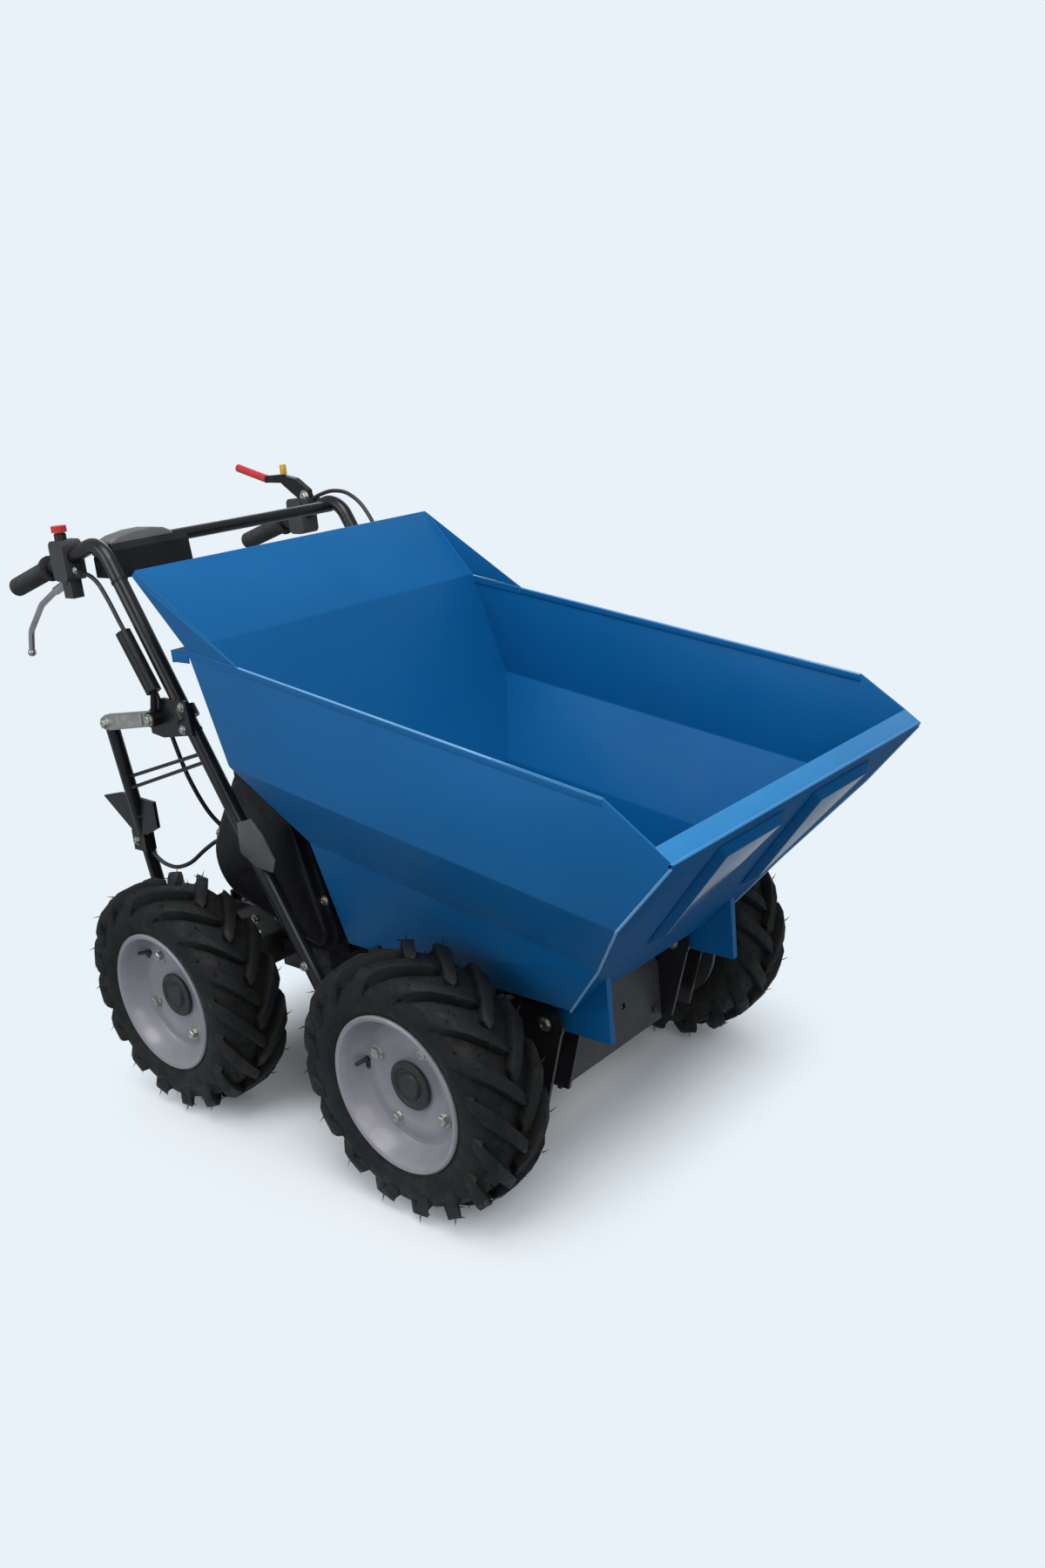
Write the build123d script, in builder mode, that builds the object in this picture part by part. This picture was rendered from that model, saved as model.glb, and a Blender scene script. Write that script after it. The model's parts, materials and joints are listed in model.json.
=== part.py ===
from build123d import *
import os
from math import cos, pi, radians, tan

# A hand-guided four-wheel site dumper with a tipping sheet-steel bucket.
# Millimetres. X points forward to the bucket's lip, Y to the operator's left, Z up.
# The origin lies on the floor under the middle of the whole machine.

# Wheels
axle_middle = -25
half_wheelbase = 266
axle_height = 190
tyre_middle = 302
bead_radius = 107.7
rim_inner_plane = 246
rim_outer_plane = 358
rim_flange_radius = 115.5
rim_disc_plane = 321
rim_wall = 3.2
hub_bore = 30
hub_cap_radius = 36
stub_radius = 15
drum_radius = 36
drum_width = 20

# Tyres: the carcass as (distance outwards from the tyre's middle, radius), and one lug of its tread in the plane
# through the axle as (distance outwards, height over the axle)
carcass_sides = 16
carcass_outline = [(-52, 170), (46, 170), (57, 148)]
bead_half = 52
shoulder_half = 60
bead_fit = 0.1
bead_flare = 22
lug_count = 16
tread_outline = [(-4, 160), (-6, 185.44), (22, 189.74), (50, 185.44), (61, 150), (50, 146)]
lug_middle = 22
lug_slant = 1.07
lug_half_width = 12
lug_turn = 185.625

# Bucket outline in the side view, as (x, z), and its half widths
sheet = 3
half_width = 301
waist_half_width = 223
floor_half_width = 187
board_top = (-245, 860)
rear_top = (-140, 759)
rear_fold = (-85, 593)
rear_waist = (-28, 461)
rear_floor = (-15, 286)
front_floor = (419, 286)
front_waist = (500, 377)
front_fold = (596, 484)
lip_edge = (681, 579)
lip_back = (657, 597)
side_end = (592, 642)
wing_end = (-30, 742)
corner_facet = (35, 573)
hem_depth = 12
bend_reach = 5
flange_reach = 38
flange_drop = 18
flute_top_x = 662
flute_tip_x = 492
flute_inner = 35
flute_outer = 185
flute_tip_y = 113
flute_height = 12
flute_taper = 42

# Tipping pivot
pivot_x = 365
pivot_z = 250
pin_radius = 8
pin_gap = 0.3
lug_inner = 146
lug_thickness = 10
lug_rear = 337
lug_front = 457
lug_bottom = 232
yoke_rear = 275
yoke_bottom = 120
yoke_knee = 200
yoke_foot = (310, 352)
yoke_radius = 27
yoke_thickness = 5
yoke_gap = 16
pin_reach = 4

# Chassis
rail_inner = 95
rail_width = 30
rail_bottom = 216
rail_top = 256
rail_rear = -415
rail_front = 327
member_length = 24
plate_bottom = 112
plate_knee = 205
plate_top = 272
plate_half_low = 125
plate_half_high = 92
plate_thickness = 6
inspection_hole = 10
axle_tube_radius = 24
axle_end = 220
stub_end = 220.5
case_length = 130
case_width = 120
case_bottom = 118
clamp_length = 60
buffer_x = 60
buffer_gap = 1

# Engine, on its plate behind the bucket
deck_rear = -390
deck_front = -80
deck_top = 262
deck_edge = 4
deck_lip = 16
engine_x = -225
engine_y = 30
crankcase_length = 190
crankcase_width = 150
crankcase_height = 150
shaft_z = 368
head_reach = 80
starter_radius = 85
starter_depth = 45

# Belt cover: its outline runs round these circles, each (x, z, radius)
cover_inner = -150
cover_step = -190
cover_outer = -205
cover_pad = -209
cover_step_inset = 13
cover_circles = [(-235, 385, 76), (-193, 487, 54), (-140, 455, 62), (-70, 300, 36)]
pad_circles = [(-236, 462, 8), (-228, 398, 22), (-168, 400, 12)]

# Handles and controls
handle_y = 245
tube_radius = 12
handle_foot = (-20, 236)
handle_crown = (-401, 900)
handle_end = (-676.4, 818)
crown_radius = 45
grip_radius = 16
grip_length = 125
grip_cap = 4
cross_tube_radius = 10
cross_tube_at = (-422, 885)
console_outline = [(-455, 838), (-455, 868), (-442, 887), (-402, 892), (-394, 882), (-390, 838)]
console_outer = -228
console_inner = -88
grip_collar = 6
collar_radius = 21
perch_at = (-503, 868)
perch_size = (40, 36, 64)
lever_radius = 5
lever_ball = 7

# Cables: the lever's on the right down to the belt cover, one from the shift rod, and the brake's on the left
cable_radius = 3.5
cable_bend_share = 0.45
drive_cable = [(-476, -245, 846.5), (-450, -245, 847), (-427, -245, 834), (-406, -245, 806), (-385, -245, 770),
               (-362, -244, 735), (-338, -243, 694), (-317, -242, 645), (-308, -238, 590), (-306, -226, 530),
               (-309, -208, 484), (-308, -194, 452), (-294, -182, 426)]
shift_cable = [(-464, -220, 376), (-440, -215, 352), (-405, -212, 347), (-368, -206, 360), (-338, -198, 385),
               (-312, -190, 403), (-296, -184, 409)]
brake_cable = [(-470, 245, 897), (-446, 247, 906), (-418, 249, 912), (-384, 251, 910), (-350, 252, 892),
               (-322, 252, 857), (-302, 251, 812), (-290, 248, 766), (-271.3, 246, 708.1), (-232.9, 247.5, 648.3),
               (-192.5, 248, 576.9), (-156.8, 246.5, 507.5), (-117.8, 247, 444.6), (-86.2, 246, 386.6),
               (-59.3, 245.5, 338.6), (-38, 238, 304), (-38, 209, 276), (-57, 166, 257), (-77, 123, 247)]

os.makedirs("parts", exist_ok=True)
sides = {"left": 1, "right": -1}
ends = {"front": axle_middle + half_wheelbase, "rear": axle_middle - half_wheelbase}
outer_rail = rail_inner + rail_width


def save(piece, name):
    piece.part.label = name
    export_step(piece.part, f"parts/{name}.step")


def at_side(outline, y):
    """Side-view points on the plane at y."""
    return [(x, y, z) for x, z in outline]


def across(low, high, low_half, high_half):
    """The four corners of a panel between two lines across the bucket."""
    return [(low[0], -low_half, low[1]), (low[0], low_half, low[1]),
            (high[0], high_half, high[1]), (high[0], -high_half, high[1])]


def add_sheet(points, inside, thickness=sheet):
    """A flat sheet: its outer face passes through the points and it is thick towards inside."""
    corner = Vector(*points[0])
    along = Vector(*points[1]) - corner
    normal = along.cross(Vector(*points[2]) - corner).normalized()
    if normal.dot(Vector(*inside) - corner) < 0:
        normal = normal * -1
    plane = Plane(origin=corner, x_dir=along, z_dir=normal)
    local = [plane.to_local_coords(Vector(*point)) for point in points]
    with BuildSketch(plane) as outline:
        with BuildLine():
            Polyline(*[(point.X, point.Y) for point in local], close=True)
        make_face()
    extrude(outline.sketch, amount=thickness)


def add_plate(outline, y_a, y_b):
    """A plate of the given side-view outline between two planes across the machine."""
    with BuildSketch(Plane.XZ.offset(-max(y_a, y_b))) as section:
        with BuildLine():
            Polyline(*outline, close=True)
        make_face()
    extrude(section.sketch, amount=abs(y_b - y_a))


def add_round(start, end, radius, mode=Mode.ADD):
    """A round bar from one point to another."""
    reach = Vector(*end) - Vector(*start)
    with BuildSketch(Plane(origin=start, z_dir=reach)) as section:
        Circle(radius)
    extrude(section.sketch, amount=reach.length, mode=mode)


def add_box(low, high, mode=Mode.ADD):
    """A box between two opposite corners."""
    centre = [(a + b) / 2 for a, b in zip(low, high)]
    with Locations(tuple(centre)):
        Box(*[abs(b - a) for a, b in zip(low, high)], mode=mode)


def add_bent_bar(points, radius, bend):
    """A round bar bent at each inner point."""
    with BuildLine() as route:
        FilletPolyline(*points, radius=bend)
    path = route.wires()[0]
    with BuildSketch(Plane(origin=path @ 0, z_dir=path % 0)) as section:
        Circle(radius)
    sweep(section.sketch, path=path)


def add_pressing(points, outside, height, taper):
    """A low block standing on a sheet, with sloping sides."""
    corner = Vector(*points[0])
    along = Vector(*points[1]) - corner
    normal = along.cross(Vector(*points[2]) - corner).normalized()
    if normal.dot(Vector(*outside) - corner) < 0:
        normal = normal * -1
    plane = Plane(origin=corner, x_dir=along, z_dir=normal)
    local = [plane.to_local_coords(Vector(*point)) for point in points]
    with BuildSketch(plane) as outline:
        with BuildLine():
            Polyline(*[(point.X, point.Y) for point in local], close=True)
        make_face()
    extrude(outline.sketch, amount=height, taper=taper)


def add_hull(circles, y_a, y_b, inset=0):
    """A plate whose outline runs round circles, between two planes across the machine."""
    with BuildSketch(Plane.XZ.offset(-max(y_a, y_b))) as section:
        for x, z, radius in circles:
            with Locations((x, z)):
                Circle(radius - inset)
        make_hull()
    extrude(section.sketch, amount=abs(y_b - y_a))


def add_cable(points):
    """A cable through its points, with an arc as large as the two runs allow at each."""
    corners = [Vector(*point) for point in points]
    bends = []
    for before, corner, after in zip(corners, corners[1:], corners[2:]):
        turn = radians((corner - before).get_angle(after - corner))
        shorter = min((corner - before).length, (after - corner).length)
        bends.append(cable_bend_share * shorter / tan(turn / 2))
    with BuildLine() as route:
        FilletPolyline(*points, radius=bends)
    path = route.wires()[0]
    with BuildSketch(Plane(origin=path @ 0, z_dir=path % 0)) as section:
        Circle(cable_radius)
    cable = sweep(section.sketch, path=path)
    ratio = cable.volume / (pi * cable_radius ** 2 * path.length)
    print(f"cable {path.length:.0f} mm, least radius {min(bends):.0f} mm, volume ratio {ratio:.3f}")


# Bucket: two bent side sheets
bucket_middle = (175, 0, 500)
side_sheets = []
for side, s in sides.items():
    rear_fold_point = (rear_fold[0], s * half_width, rear_fold[1])
    facet_point = (corner_facet[0], s * half_width, corner_facet[1])
    front_fold_point = (front_fold[0], s * half_width, front_fold[1])
    rear_waist_point = (rear_waist[0], s * waist_half_width, rear_waist[1])
    front_waist_point = (front_waist[0], s * waist_half_width, front_waist[1])
    rear_floor_point = (rear_floor[0], s * floor_half_width, rear_floor[1])
    front_floor_point = (front_floor[0], s * floor_half_width, front_floor[1])
    past_bend = (Vector(*rear_waist_point) - Vector(*rear_floor_point)).normalized() * bend_reach
    rear_past_bend = tuple(Vector(*rear_waist_point) + past_bend)
    front_past_bend = tuple(Vector(*front_waist_point) + past_bend)
    upper_wall = [rear_top, side_end, lip_back, lip_edge, front_fold, corner_facet, rear_fold]
    hem = [wing_end, side_end, (side_end[0], side_end[1] - hem_depth), (wing_end[0], wing_end[1] - hem_depth)]
    with BuildPart() as bucket_side:
        add_sheet(at_side(upper_wall, s * half_width), bucket_middle)
        add_sheet(at_side(hem, s * half_width), bucket_middle, 2 * sheet)
        add_sheet([facet_point, front_fold_point, front_waist_point, rear_waist_point], bucket_middle)
        add_sheet([rear_fold_point, facet_point, rear_waist_point], bucket_middle)
        add_sheet([rear_floor_point, rear_past_bend, front_past_bend, front_waist_point], bucket_middle)
        add_sheet([front_waist_point, front_floor_point, rear_floor_point], bucket_middle)
    save(bucket_side, f"bucket_side_{side}")
    side_sheets.append(bucket_side.part)

# Bucket: the pan, one sheet bent round rear, floor, front and lip
waist_lean = (rear_floor[0] - rear_waist[0]) / (rear_waist[1] - rear_floor[1])
waist_past_bend = (rear_waist[0] - bend_reach * waist_lean, rear_waist[1] + bend_reach)
front_panel = (across(front_floor, front_floor, floor_half_width, floor_half_width)[:2]
               + across(front_waist, front_fold, waist_half_width, half_width)[1:3]
               + across(lip_edge, lip_edge, half_width, half_width)[2:]
               + across(front_waist, front_fold, waist_half_width, half_width)[3:]
               + across(front_waist, front_fold, waist_half_width, half_width)[:1])
with BuildPart() as bucket_pan:
    add_sheet(across(rear_top, rear_fold, half_width, half_width), bucket_middle)
    add_sheet(across(rear_fold, rear_waist, half_width, waist_half_width), bucket_middle)
    add_sheet(across(waist_past_bend, rear_floor, waist_half_width, floor_half_width), bucket_middle)
    add_sheet(across(rear_floor, front_floor, floor_half_width, floor_half_width), bucket_middle)
    add_sheet(front_panel, bucket_middle)
    add_sheet(across(lip_edge, lip_back, half_width, half_width), bucket_middle)
    for side_sheet in side_sheets:
        add(side_sheet, mode=Mode.SUBTRACT)
save(bucket_pan, "bucket_pan")

# Bucket: the headboard with its two wings
with BuildPart() as headboard:
    add_sheet(across(rear_top, board_top, half_width, half_width), (0, 0, 900))
    for s in sides.values():
        add_sheet(at_side([rear_top, wing_end, board_top], s * half_width), bucket_middle)
    for neighbour in side_sheets + [bucket_pan.part]:
        add(neighbour, mode=Mode.SUBTRACT)
save(headboard, "headboard")

# Bucket: the folded flange behind the rear wall
flange_back = rear_top[0] - flange_reach
flange_top = rear_top[1] - sheet
flange_outline = [(rear_top[0] + 2, flange_top), (flange_back, flange_top), (flange_back, flange_top - flange_drop),
                  (flange_back + sheet, flange_top - flange_drop), (flange_back + sheet, flange_top - sheet),
                  (rear_top[0] + 3, flange_top - sheet)]
with BuildPart() as rear_flange:
    add_plate(flange_outline, -half_width, half_width)
    for neighbour in side_sheets + [bucket_pan.part]:
        add(neighbour, mode=Mode.SUBTRACT)
save(rear_flange, "rear_flange")

# Bucket: two tapering flutes pressed out of the front panel
front_slope = (lip_edge[1] - front_floor[1]) / (lip_edge[0] - front_floor[0])


def on_front(x):
    """The height of the front panel's outer face at x."""
    return front_floor[1] + front_slope * (x - front_floor[0])


with BuildPart() as front_ribs:
    for s in sides.values():
        flute = [(flute_top_x, s * flute_inner, on_front(flute_top_x)),
                 (flute_top_x, s * flute_outer, on_front(flute_top_x)),
                 (flute_tip_x, s * flute_tip_y, on_front(flute_tip_x))]
        add_pressing(flute, (700, 0, 200), flute_height, flute_taper)
save(front_ribs, "front_ribs")

# Bucket: the pivot lugs under its front corner
lug_outline = [(lug_rear, lug_bottom), (lug_front, lug_bottom), (lug_front, on_front(lug_front)), front_floor,
               (lug_rear, front_floor[1])]
for side, s in sides.items():
    inner = s * lug_inner
    outer = s * (lug_inner + lug_thickness)
    with BuildPart() as lug:
        add_plate(lug_outline, inner, outer)
        add_round((pivot_x, inner, pivot_z), (pivot_x, outer, pivot_z), pin_radius + pin_gap, Mode.SUBTRACT)
    save(lug, f"pivot_lug_{side}")

# Chassis: two box rails, two members across and the front plate
rails = {}
for side, s in sides.items():
    with BuildPart() as rail:
        add_box((rail_rear, s * rail_inner, rail_bottom), (rail_front, s * outer_rail, rail_top))
    save(rail, f"frame_rail_{side}")
    rails[side] = rail.part

with BuildPart() as cross_members:
    for x in (rail_rear, axle_middle - member_length / 2):
        add_box((x, -rail_inner, rail_bottom), (x + member_length, rail_inner, rail_top))
save(cross_members, "cross_members")

with BuildPart() as front_plate:
    with BuildSketch(Plane.YZ.offset(rail_front)):
        with BuildLine():
            Polyline((-plate_half_low, plate_bottom), (plate_half_low, plate_bottom),
                     (plate_half_low, plate_knee), (plate_half_high, plate_top),
                     (-plate_half_high, plate_top), (-plate_half_low, plate_knee), close=True)
        make_face()
        with Locations((32, 173)):
            Rectangle(inspection_hole, inspection_hole, mode=Mode.SUBTRACT)
    extrude(amount=plate_thickness)
save(front_plate, "front_plate")

# Chassis: a yoke of two cheeks on each side carries the tipping pin
yoke_inner = lug_inner - yoke_gap - yoke_thickness
yoke_outer = lug_inner + lug_thickness + yoke_gap + yoke_thickness
yoke_front = pivot_x + yoke_radius
yoke_top = pivot_z + yoke_radius
for side, s in sides.items():
    with BuildPart() as yoke:
        for near, far in ((yoke_inner, yoke_inner + yoke_thickness), (yoke_outer - yoke_thickness, yoke_outer)):
            add_plate([(yoke_rear, yoke_knee), (yoke_foot[0], yoke_bottom), (yoke_foot[1], yoke_bottom),
                       (yoke_front, pivot_z), (pivot_x, yoke_top), (yoke_rear, yoke_top)], s * near, s * far)
            add_round((pivot_x, s * near, pivot_z), (pivot_x, s * far, pivot_z), yoke_radius)
        add_box((yoke_rear, s * yoke_inner, yoke_knee), (yoke_rear + yoke_thickness, s * yoke_outer, yoke_top))
        add_round((pivot_x, s * (yoke_inner - pin_reach), pivot_z), (pivot_x, s * (yoke_outer + pin_reach), pivot_z),
                  pin_radius)
    save(yoke, f"pivot_yoke_{side}")

# Chassis: rubber buffers on the rails carry the bucket's floor
with BuildPart() as buffers:
    for s in sides.values():
        add_round((buffer_x, s * (rail_inner + rail_width / 2), rail_top),
                  (buffer_x, s * (rail_inner + rail_width / 2), rear_floor[1] - buffer_gap), 12)
save(buffers, "bucket_buffers")

# Axles: a gear case, a tube across with a drum at each end, and a clamp under each rail
for end, x in ends.items():
    with BuildPart() as axle:
        add_box((x - case_length / 2, -case_width / 2, case_bottom),
                (x + case_length / 2, case_width / 2, rail_bottom))
        add_round((x, -axle_end, axle_height), (x, axle_end, axle_height), axle_tube_radius)
        for s in sides.values():
            add_box((x - clamp_length / 2, s * rail_inner, axle_height),
                    (x + clamp_length / 2, s * outer_rail, rail_bottom))
            add_round((x, s * (axle_end - drum_width), axle_height), (x, s * axle_end, axle_height), drum_radius)
    save(axle, f"axle_housing_{end}")

with BuildPart() as drive_shaft:
    add_round((ends["rear"] + case_length / 2, 0, 160), (ends["front"] - case_length / 2, 0, 160), 14)
save(drive_shaft, "drive_shaft")

# Engine: its deck with a folded edge at each end, crankcase, cylinder, tank, air filter, silencer and starter
with BuildPart() as engine_deck:
    add_box((deck_rear, -outer_rail, rail_top), (deck_front, outer_rail, deck_top))
    for x in (deck_rear, deck_front - deck_edge):
        add_box((x, -outer_rail, deck_top), (x + deck_edge, outer_rail, deck_top + deck_lip))
save(engine_deck, "engine_deck")

crankcase_rear = engine_x - crankcase_length / 2
crankcase_right = engine_y - crankcase_width / 2
crankcase_left = engine_y + crankcase_width / 2
crankcase_top = deck_top + crankcase_height
with BuildPart() as crankcase:
    add_box((crankcase_rear, crankcase_right, deck_top),
            (engine_x + crankcase_length / 2, crankcase_left, crankcase_top))
    add_round((engine_x, crankcase_right, shaft_z), (engine_x, cover_inner, shaft_z), 20)
save(crankcase, "engine_crankcase")

with BuildPart() as cylinder:
    add_box((crankcase_rear - head_reach + 10, engine_y - 45, deck_top + 40),
            (crankcase_rear, engine_y + 45, crankcase_top))
    for level in range(6):
        z = deck_top + 50 + 18 * level
        add_box((crankcase_rear - head_reach, engine_y - 55, z), (crankcase_rear, engine_y + 55, z + 6))
save(cylinder, "engine_cylinder")

with BuildPart() as tank:
    add_box((crankcase_rear, crankcase_right - 5, crankcase_top),
            (crankcase_rear + 185, crankcase_left, crankcase_top + 80))
    fillet(tank.edges().filter_by(Axis.Z), 30)
    fillet(tank.faces().sort_by(Axis.Z)[-1].edges(), 18)
    add_round((engine_x, engine_y, crankcase_top + 80), (engine_x, engine_y, crankcase_top + 96), 26)
save(tank, "fuel_tank")

with BuildPart() as air_filter:
    add_box((crankcase_rear - 78, -78, crankcase_top), (crankcase_rear - 4, 20, crankcase_top + 85))
    fillet(air_filter.edges().filter_by(Axis.Z), 12)
save(air_filter, "air_filter")

with BuildPart() as carburettor:
    add_box((crankcase_rear - 65, engine_y - 92, crankcase_top - 62),
            (crankcase_rear - 15, engine_y - 55, crankcase_top))
    add_round((crankcase_rear - 40, engine_y - 74, crankcase_top - 84),
              (crankcase_rear - 40, engine_y - 74, crankcase_top - 62), 17)
save(carburettor, "carburettor")

with BuildPart() as silencer:
    add_box((crankcase_rear - 78, 26, crankcase_top), (crankcase_rear - 4, 118, crankcase_top + 70))
    fillet(silencer.edges().filter_by(Axis.Z), 20)
save(silencer, "silencer")

with BuildPart() as starter:
    for reach, radius in ((starter_depth, starter_radius), (starter_depth + 12, starter_radius - 20)):
        add_round((engine_x, crankcase_left, shaft_z), (engine_x, crankcase_left + reach, shaft_z), radius)
save(starter, "recoil_starter")

# Belt cover on the right of the engine, and the angle that joins it to the rail
with BuildPart() as belt_cover:
    add_hull(cover_circles, cover_inner, cover_step)
    add_hull(cover_circles, cover_step, cover_outer, cover_step_inset)
    fillet(belt_cover.faces().sort_by(Axis.Y)[0].edges(), 6)
    add_hull(pad_circles, cover_outer, cover_pad)
save(belt_cover, "belt_cover")

with BuildPart() as cover_bracket:
    add_box((-160, -outer_rail, rail_top - 12), (-60, cover_inner, rail_top))
    add_box((-160, cover_inner + 6, rail_top), (-60, cover_inner, 330))
save(cover_bracket, "cover_bracket")

# Handles: one bent tube on each side, from a foot on the rail up to the grip
grip_run = (Vector(*handle_end) - Vector(*handle_crown)).normalized()
grip_front = Vector(*handle_end) - grip_run * grip_length
tube_end = Vector(*handle_end) - grip_run * grip_cap
handles = {}
perches = {}
for side, s in sides.items():
    y = s * handle_y
    with BuildPart() as handle:
        add_bent_bar([(handle_foot[0], y, handle_foot[1]), (handle_crown[0], y, handle_crown[1]),
                      (tube_end.X, y, tube_end.Y)], tube_radius, crown_radius)
        add_round((handle_foot[0], s * outer_rail, handle_foot[1]), (handle_foot[0], y, handle_foot[1]),
                  tube_radius)
    save(handle, f"handle_{side}")
    handles[side] = handle.part
    collar_end = grip_front + grip_run * grip_collar
    with BuildPart() as grip:
        add_round((grip_front.X, y, grip_front.Y), (handle_end[0], y, handle_end[1]), grip_radius)
        add_round((grip_front.X, y, grip_front.Y), (collar_end.X, y, collar_end.Y), collar_radius)
        add(handle.part, mode=Mode.SUBTRACT)
    save(grip, f"grip_{side}")
    with BuildPart() as perch:
        with Locations((perch_at[0], y, perch_at[1])):
            Box(*perch_size)
        fillet(perch.edges().filter_by(Axis.Y), 10)
        if side == "right":
            add_box((-515, y - 10, 808), (-490, y + 10, 850))
            add_round((-492, y, 843), (-470, y, 848), 6)
        else:
            add_box((-505, y - 15, 878), (-465, y + 15, 900))
        add(handle.part, mode=Mode.SUBTRACT)
    save(perch, f"lever_perch_{side}")
    perches[side] = perch.part

with BuildPart() as cross_tube:
    add_round((cross_tube_at[0], -handle_y, cross_tube_at[1]), (cross_tube_at[0], handle_y, cross_tube_at[1]),
              cross_tube_radius)
    for handle_part in handles.values():
        add(handle_part, mode=Mode.SUBTRACT)
save(cross_tube, "handle_cross_tube")

with BuildPart() as console:
    add_plate(console_outline, console_outer, console_inner)
    add(cross_tube.part, mode=Mode.SUBTRACT)
save(console, "control_console")

# Controls: drive lever under the right grip, brake lever over the left one, stop switch, gear shift
lever_y = -handle_y
with BuildPart() as drive_lever:
    add_bent_bar([(-500, lever_y, 838), (-560, lever_y, 815), (-610, lever_y, 791), (-661, lever_y, 744),
                  (-673.5, lever_y, 706)], lever_radius, 30)
    add_round((-500, lever_y, 838), (-556, lever_y, 816.5), lever_ball)
    with Locations((-673.5, lever_y, 706)):
        Sphere(lever_ball)
    add(perches["right"], mode=Mode.SUBTRACT)
save(drive_lever, "drive_lever")

brake_outline = [(-590, 941), (-545, 943), (-505, 935), (-473, 914), (-473, 898), (-490, 893), (-515, 908),
                 (-545, 928), (-590, 929)]
with BuildPart() as brake_lever:
    add_plate(brake_outline, handle_y - 6, handle_y + 6)
    add(perches["left"], mode=Mode.SUBTRACT)
save(brake_lever, "brake_lever")

with BuildPart() as brake_sleeve:
    add_round((-589, handle_y, 935), (-671, handle_y, 957), lever_radius + 2.5)
    add(brake_lever.part, mode=Mode.SUBTRACT)
save(brake_sleeve, "brake_lever_sleeve")

with BuildPart() as stop_switch:
    add_round((-512, -handle_y, 890), (-512, -handle_y, 912), 7)
    add_round((-512, -handle_y, 912), (-512, -handle_y, 922), 12)
    add(perches["right"], mode=Mode.SUBTRACT)
save(stop_switch, "stop_switch")

# Gear shift: a lever on a clamped bracket beside the right handle, an arm, a rod and its shaft into the gearbox
bracket_outline = [(-228, 664), (-222, 612), (-300, 600), (-330, 604), (-330, 640), (-290, 664)]
with BuildPart() as shift_bracket:
    add_plate(bracket_outline, -259, -253)
    add_round((-256.3, -handle_y, 647.8), (-247.3, -handle_y, 632.2), 19)
    add(handles["right"], mode=Mode.SUBTRACT)
save(shift_bracket, "shift_bracket")

with BuildPart() as shift_lever:
    add_round((-306, -259, 632), (-306, -275, 632), 12)
    add_round((-306, -267, 632), (-292, -267, 680), 5)
    add_round((-292, -267, 676), (-347, -267, 765), 12)
save(shift_lever, "shift_lever")

rod_top = (-436, -262, 603)
rod_foot = (-485, -193, 236)
wedge_outline = [(-405, 470), (-405, 425), (-440, 408), (-478, 408), (-552, 462), (-500, 474)]
with BuildPart() as shift_rod:
    add_round(rod_top, rod_foot, 11)
    add_plate(wedge_outline, -234, -228)
    add_box((-485, -234, 375), (-450, -214, 410))
save(shift_rod, "shift_rod")

arm_outline = [(-306, 644), (-322, 642), (-436, 626), (-451, 618), (-451, 604), (-436, 600), (-322, 618), (-306, 620)]
with BuildPart() as shift_arm:
    add_plate(arm_outline, -272, -262)
    add(shift_lever.part, mode=Mode.SUBTRACT)
    add(shift_rod.part, mode=Mode.SUBTRACT)
save(shift_arm, "shift_arm")

with BuildPart() as shift_stays:
    add_round((-449, -244, 511), (-218, -245, 582), 3)
    add_round((-445, -244, 493), (-211, -245, 570), 3)
    for neighbour in (shift_rod.part, handles["right"]):
        add(neighbour, mode=Mode.SUBTRACT)
save(shift_stays, "shift_stays")

with BuildPart() as shift_shaft:
    add_round((-405, -outer_rail, 236), (-405, -192, 236), 8)
    add_round((-405, -182, 236), (-482, -194, 248), 5)
    add(shift_rod.part, mode=Mode.SUBTRACT)
save(shift_shaft, "shift_shaft")

# Cables: held by the controls, the handles and the covers along their whole way
with BuildPart() as cables_right:
    add_cable(drive_cable)
    add_cable(shift_cable)
    for neighbour in (perches["right"], belt_cover.part, shift_rod.part):
        add(neighbour, mode=Mode.SUBTRACT)
save(cables_right, "cables_right")

with BuildPart() as cable_left:
    add_cable(brake_cable)
    for neighbour in (perches["left"], rails["left"]):
        add(neighbour, mode=Mode.SUBTRACT)
save(cable_left, "cable_left")


def wheel_plane(x, s):
    """A plane through the wheel's axis: local x is the radius and local y the distance outwards."""
    return Plane(origin=(x, 0, axle_height), x_dir=(0, 0, 1), z_dir=(-s, 0, 0))


def add_turned(profile, x, s):
    """A piece turned about the wheel's axis from its (radius, distance outwards) outline."""
    with BuildSketch(wheel_plane(x, s)) as section:
        with BuildLine():
            Polyline(*profile, close=True)
        make_face()
    revolve(section.sketch, axis=Axis((x, 0, axle_height), (0, s, 0)))


rim_profile = [(rim_flange_radius, rim_outer_plane), (106, rim_outer_plane), (90, 327), (hub_bore, rim_disc_plane),
               (hub_bore, 317), (90, 322), (103, 352), (104.5, 350), (104.5, rim_inner_plane),
               (rim_flange_radius, rim_inner_plane), (rim_flange_radius, 250), (bead_radius, 250),
               (bead_radius, 354), (rim_flange_radius, 354)]
hub_profile = [(0, stub_end), (stub_radius, stub_end), (stub_radius, 296), (45, 300), (45, 313), (hub_bore, 317),
               (hub_bore, rim_disc_plane), (hub_cap_radius, 322), (hub_cap_radius, 326), (30, 331), (0, 331)]



def carcass_ring(y, radius):
    """The carcass's outline across the axle at y, with the given radius at its corners."""
    with BuildSketch(Plane.XZ.offset(-y)) as ring:
        RegularPolygon(radius, carcass_sides)
    return ring.sketch


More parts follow.
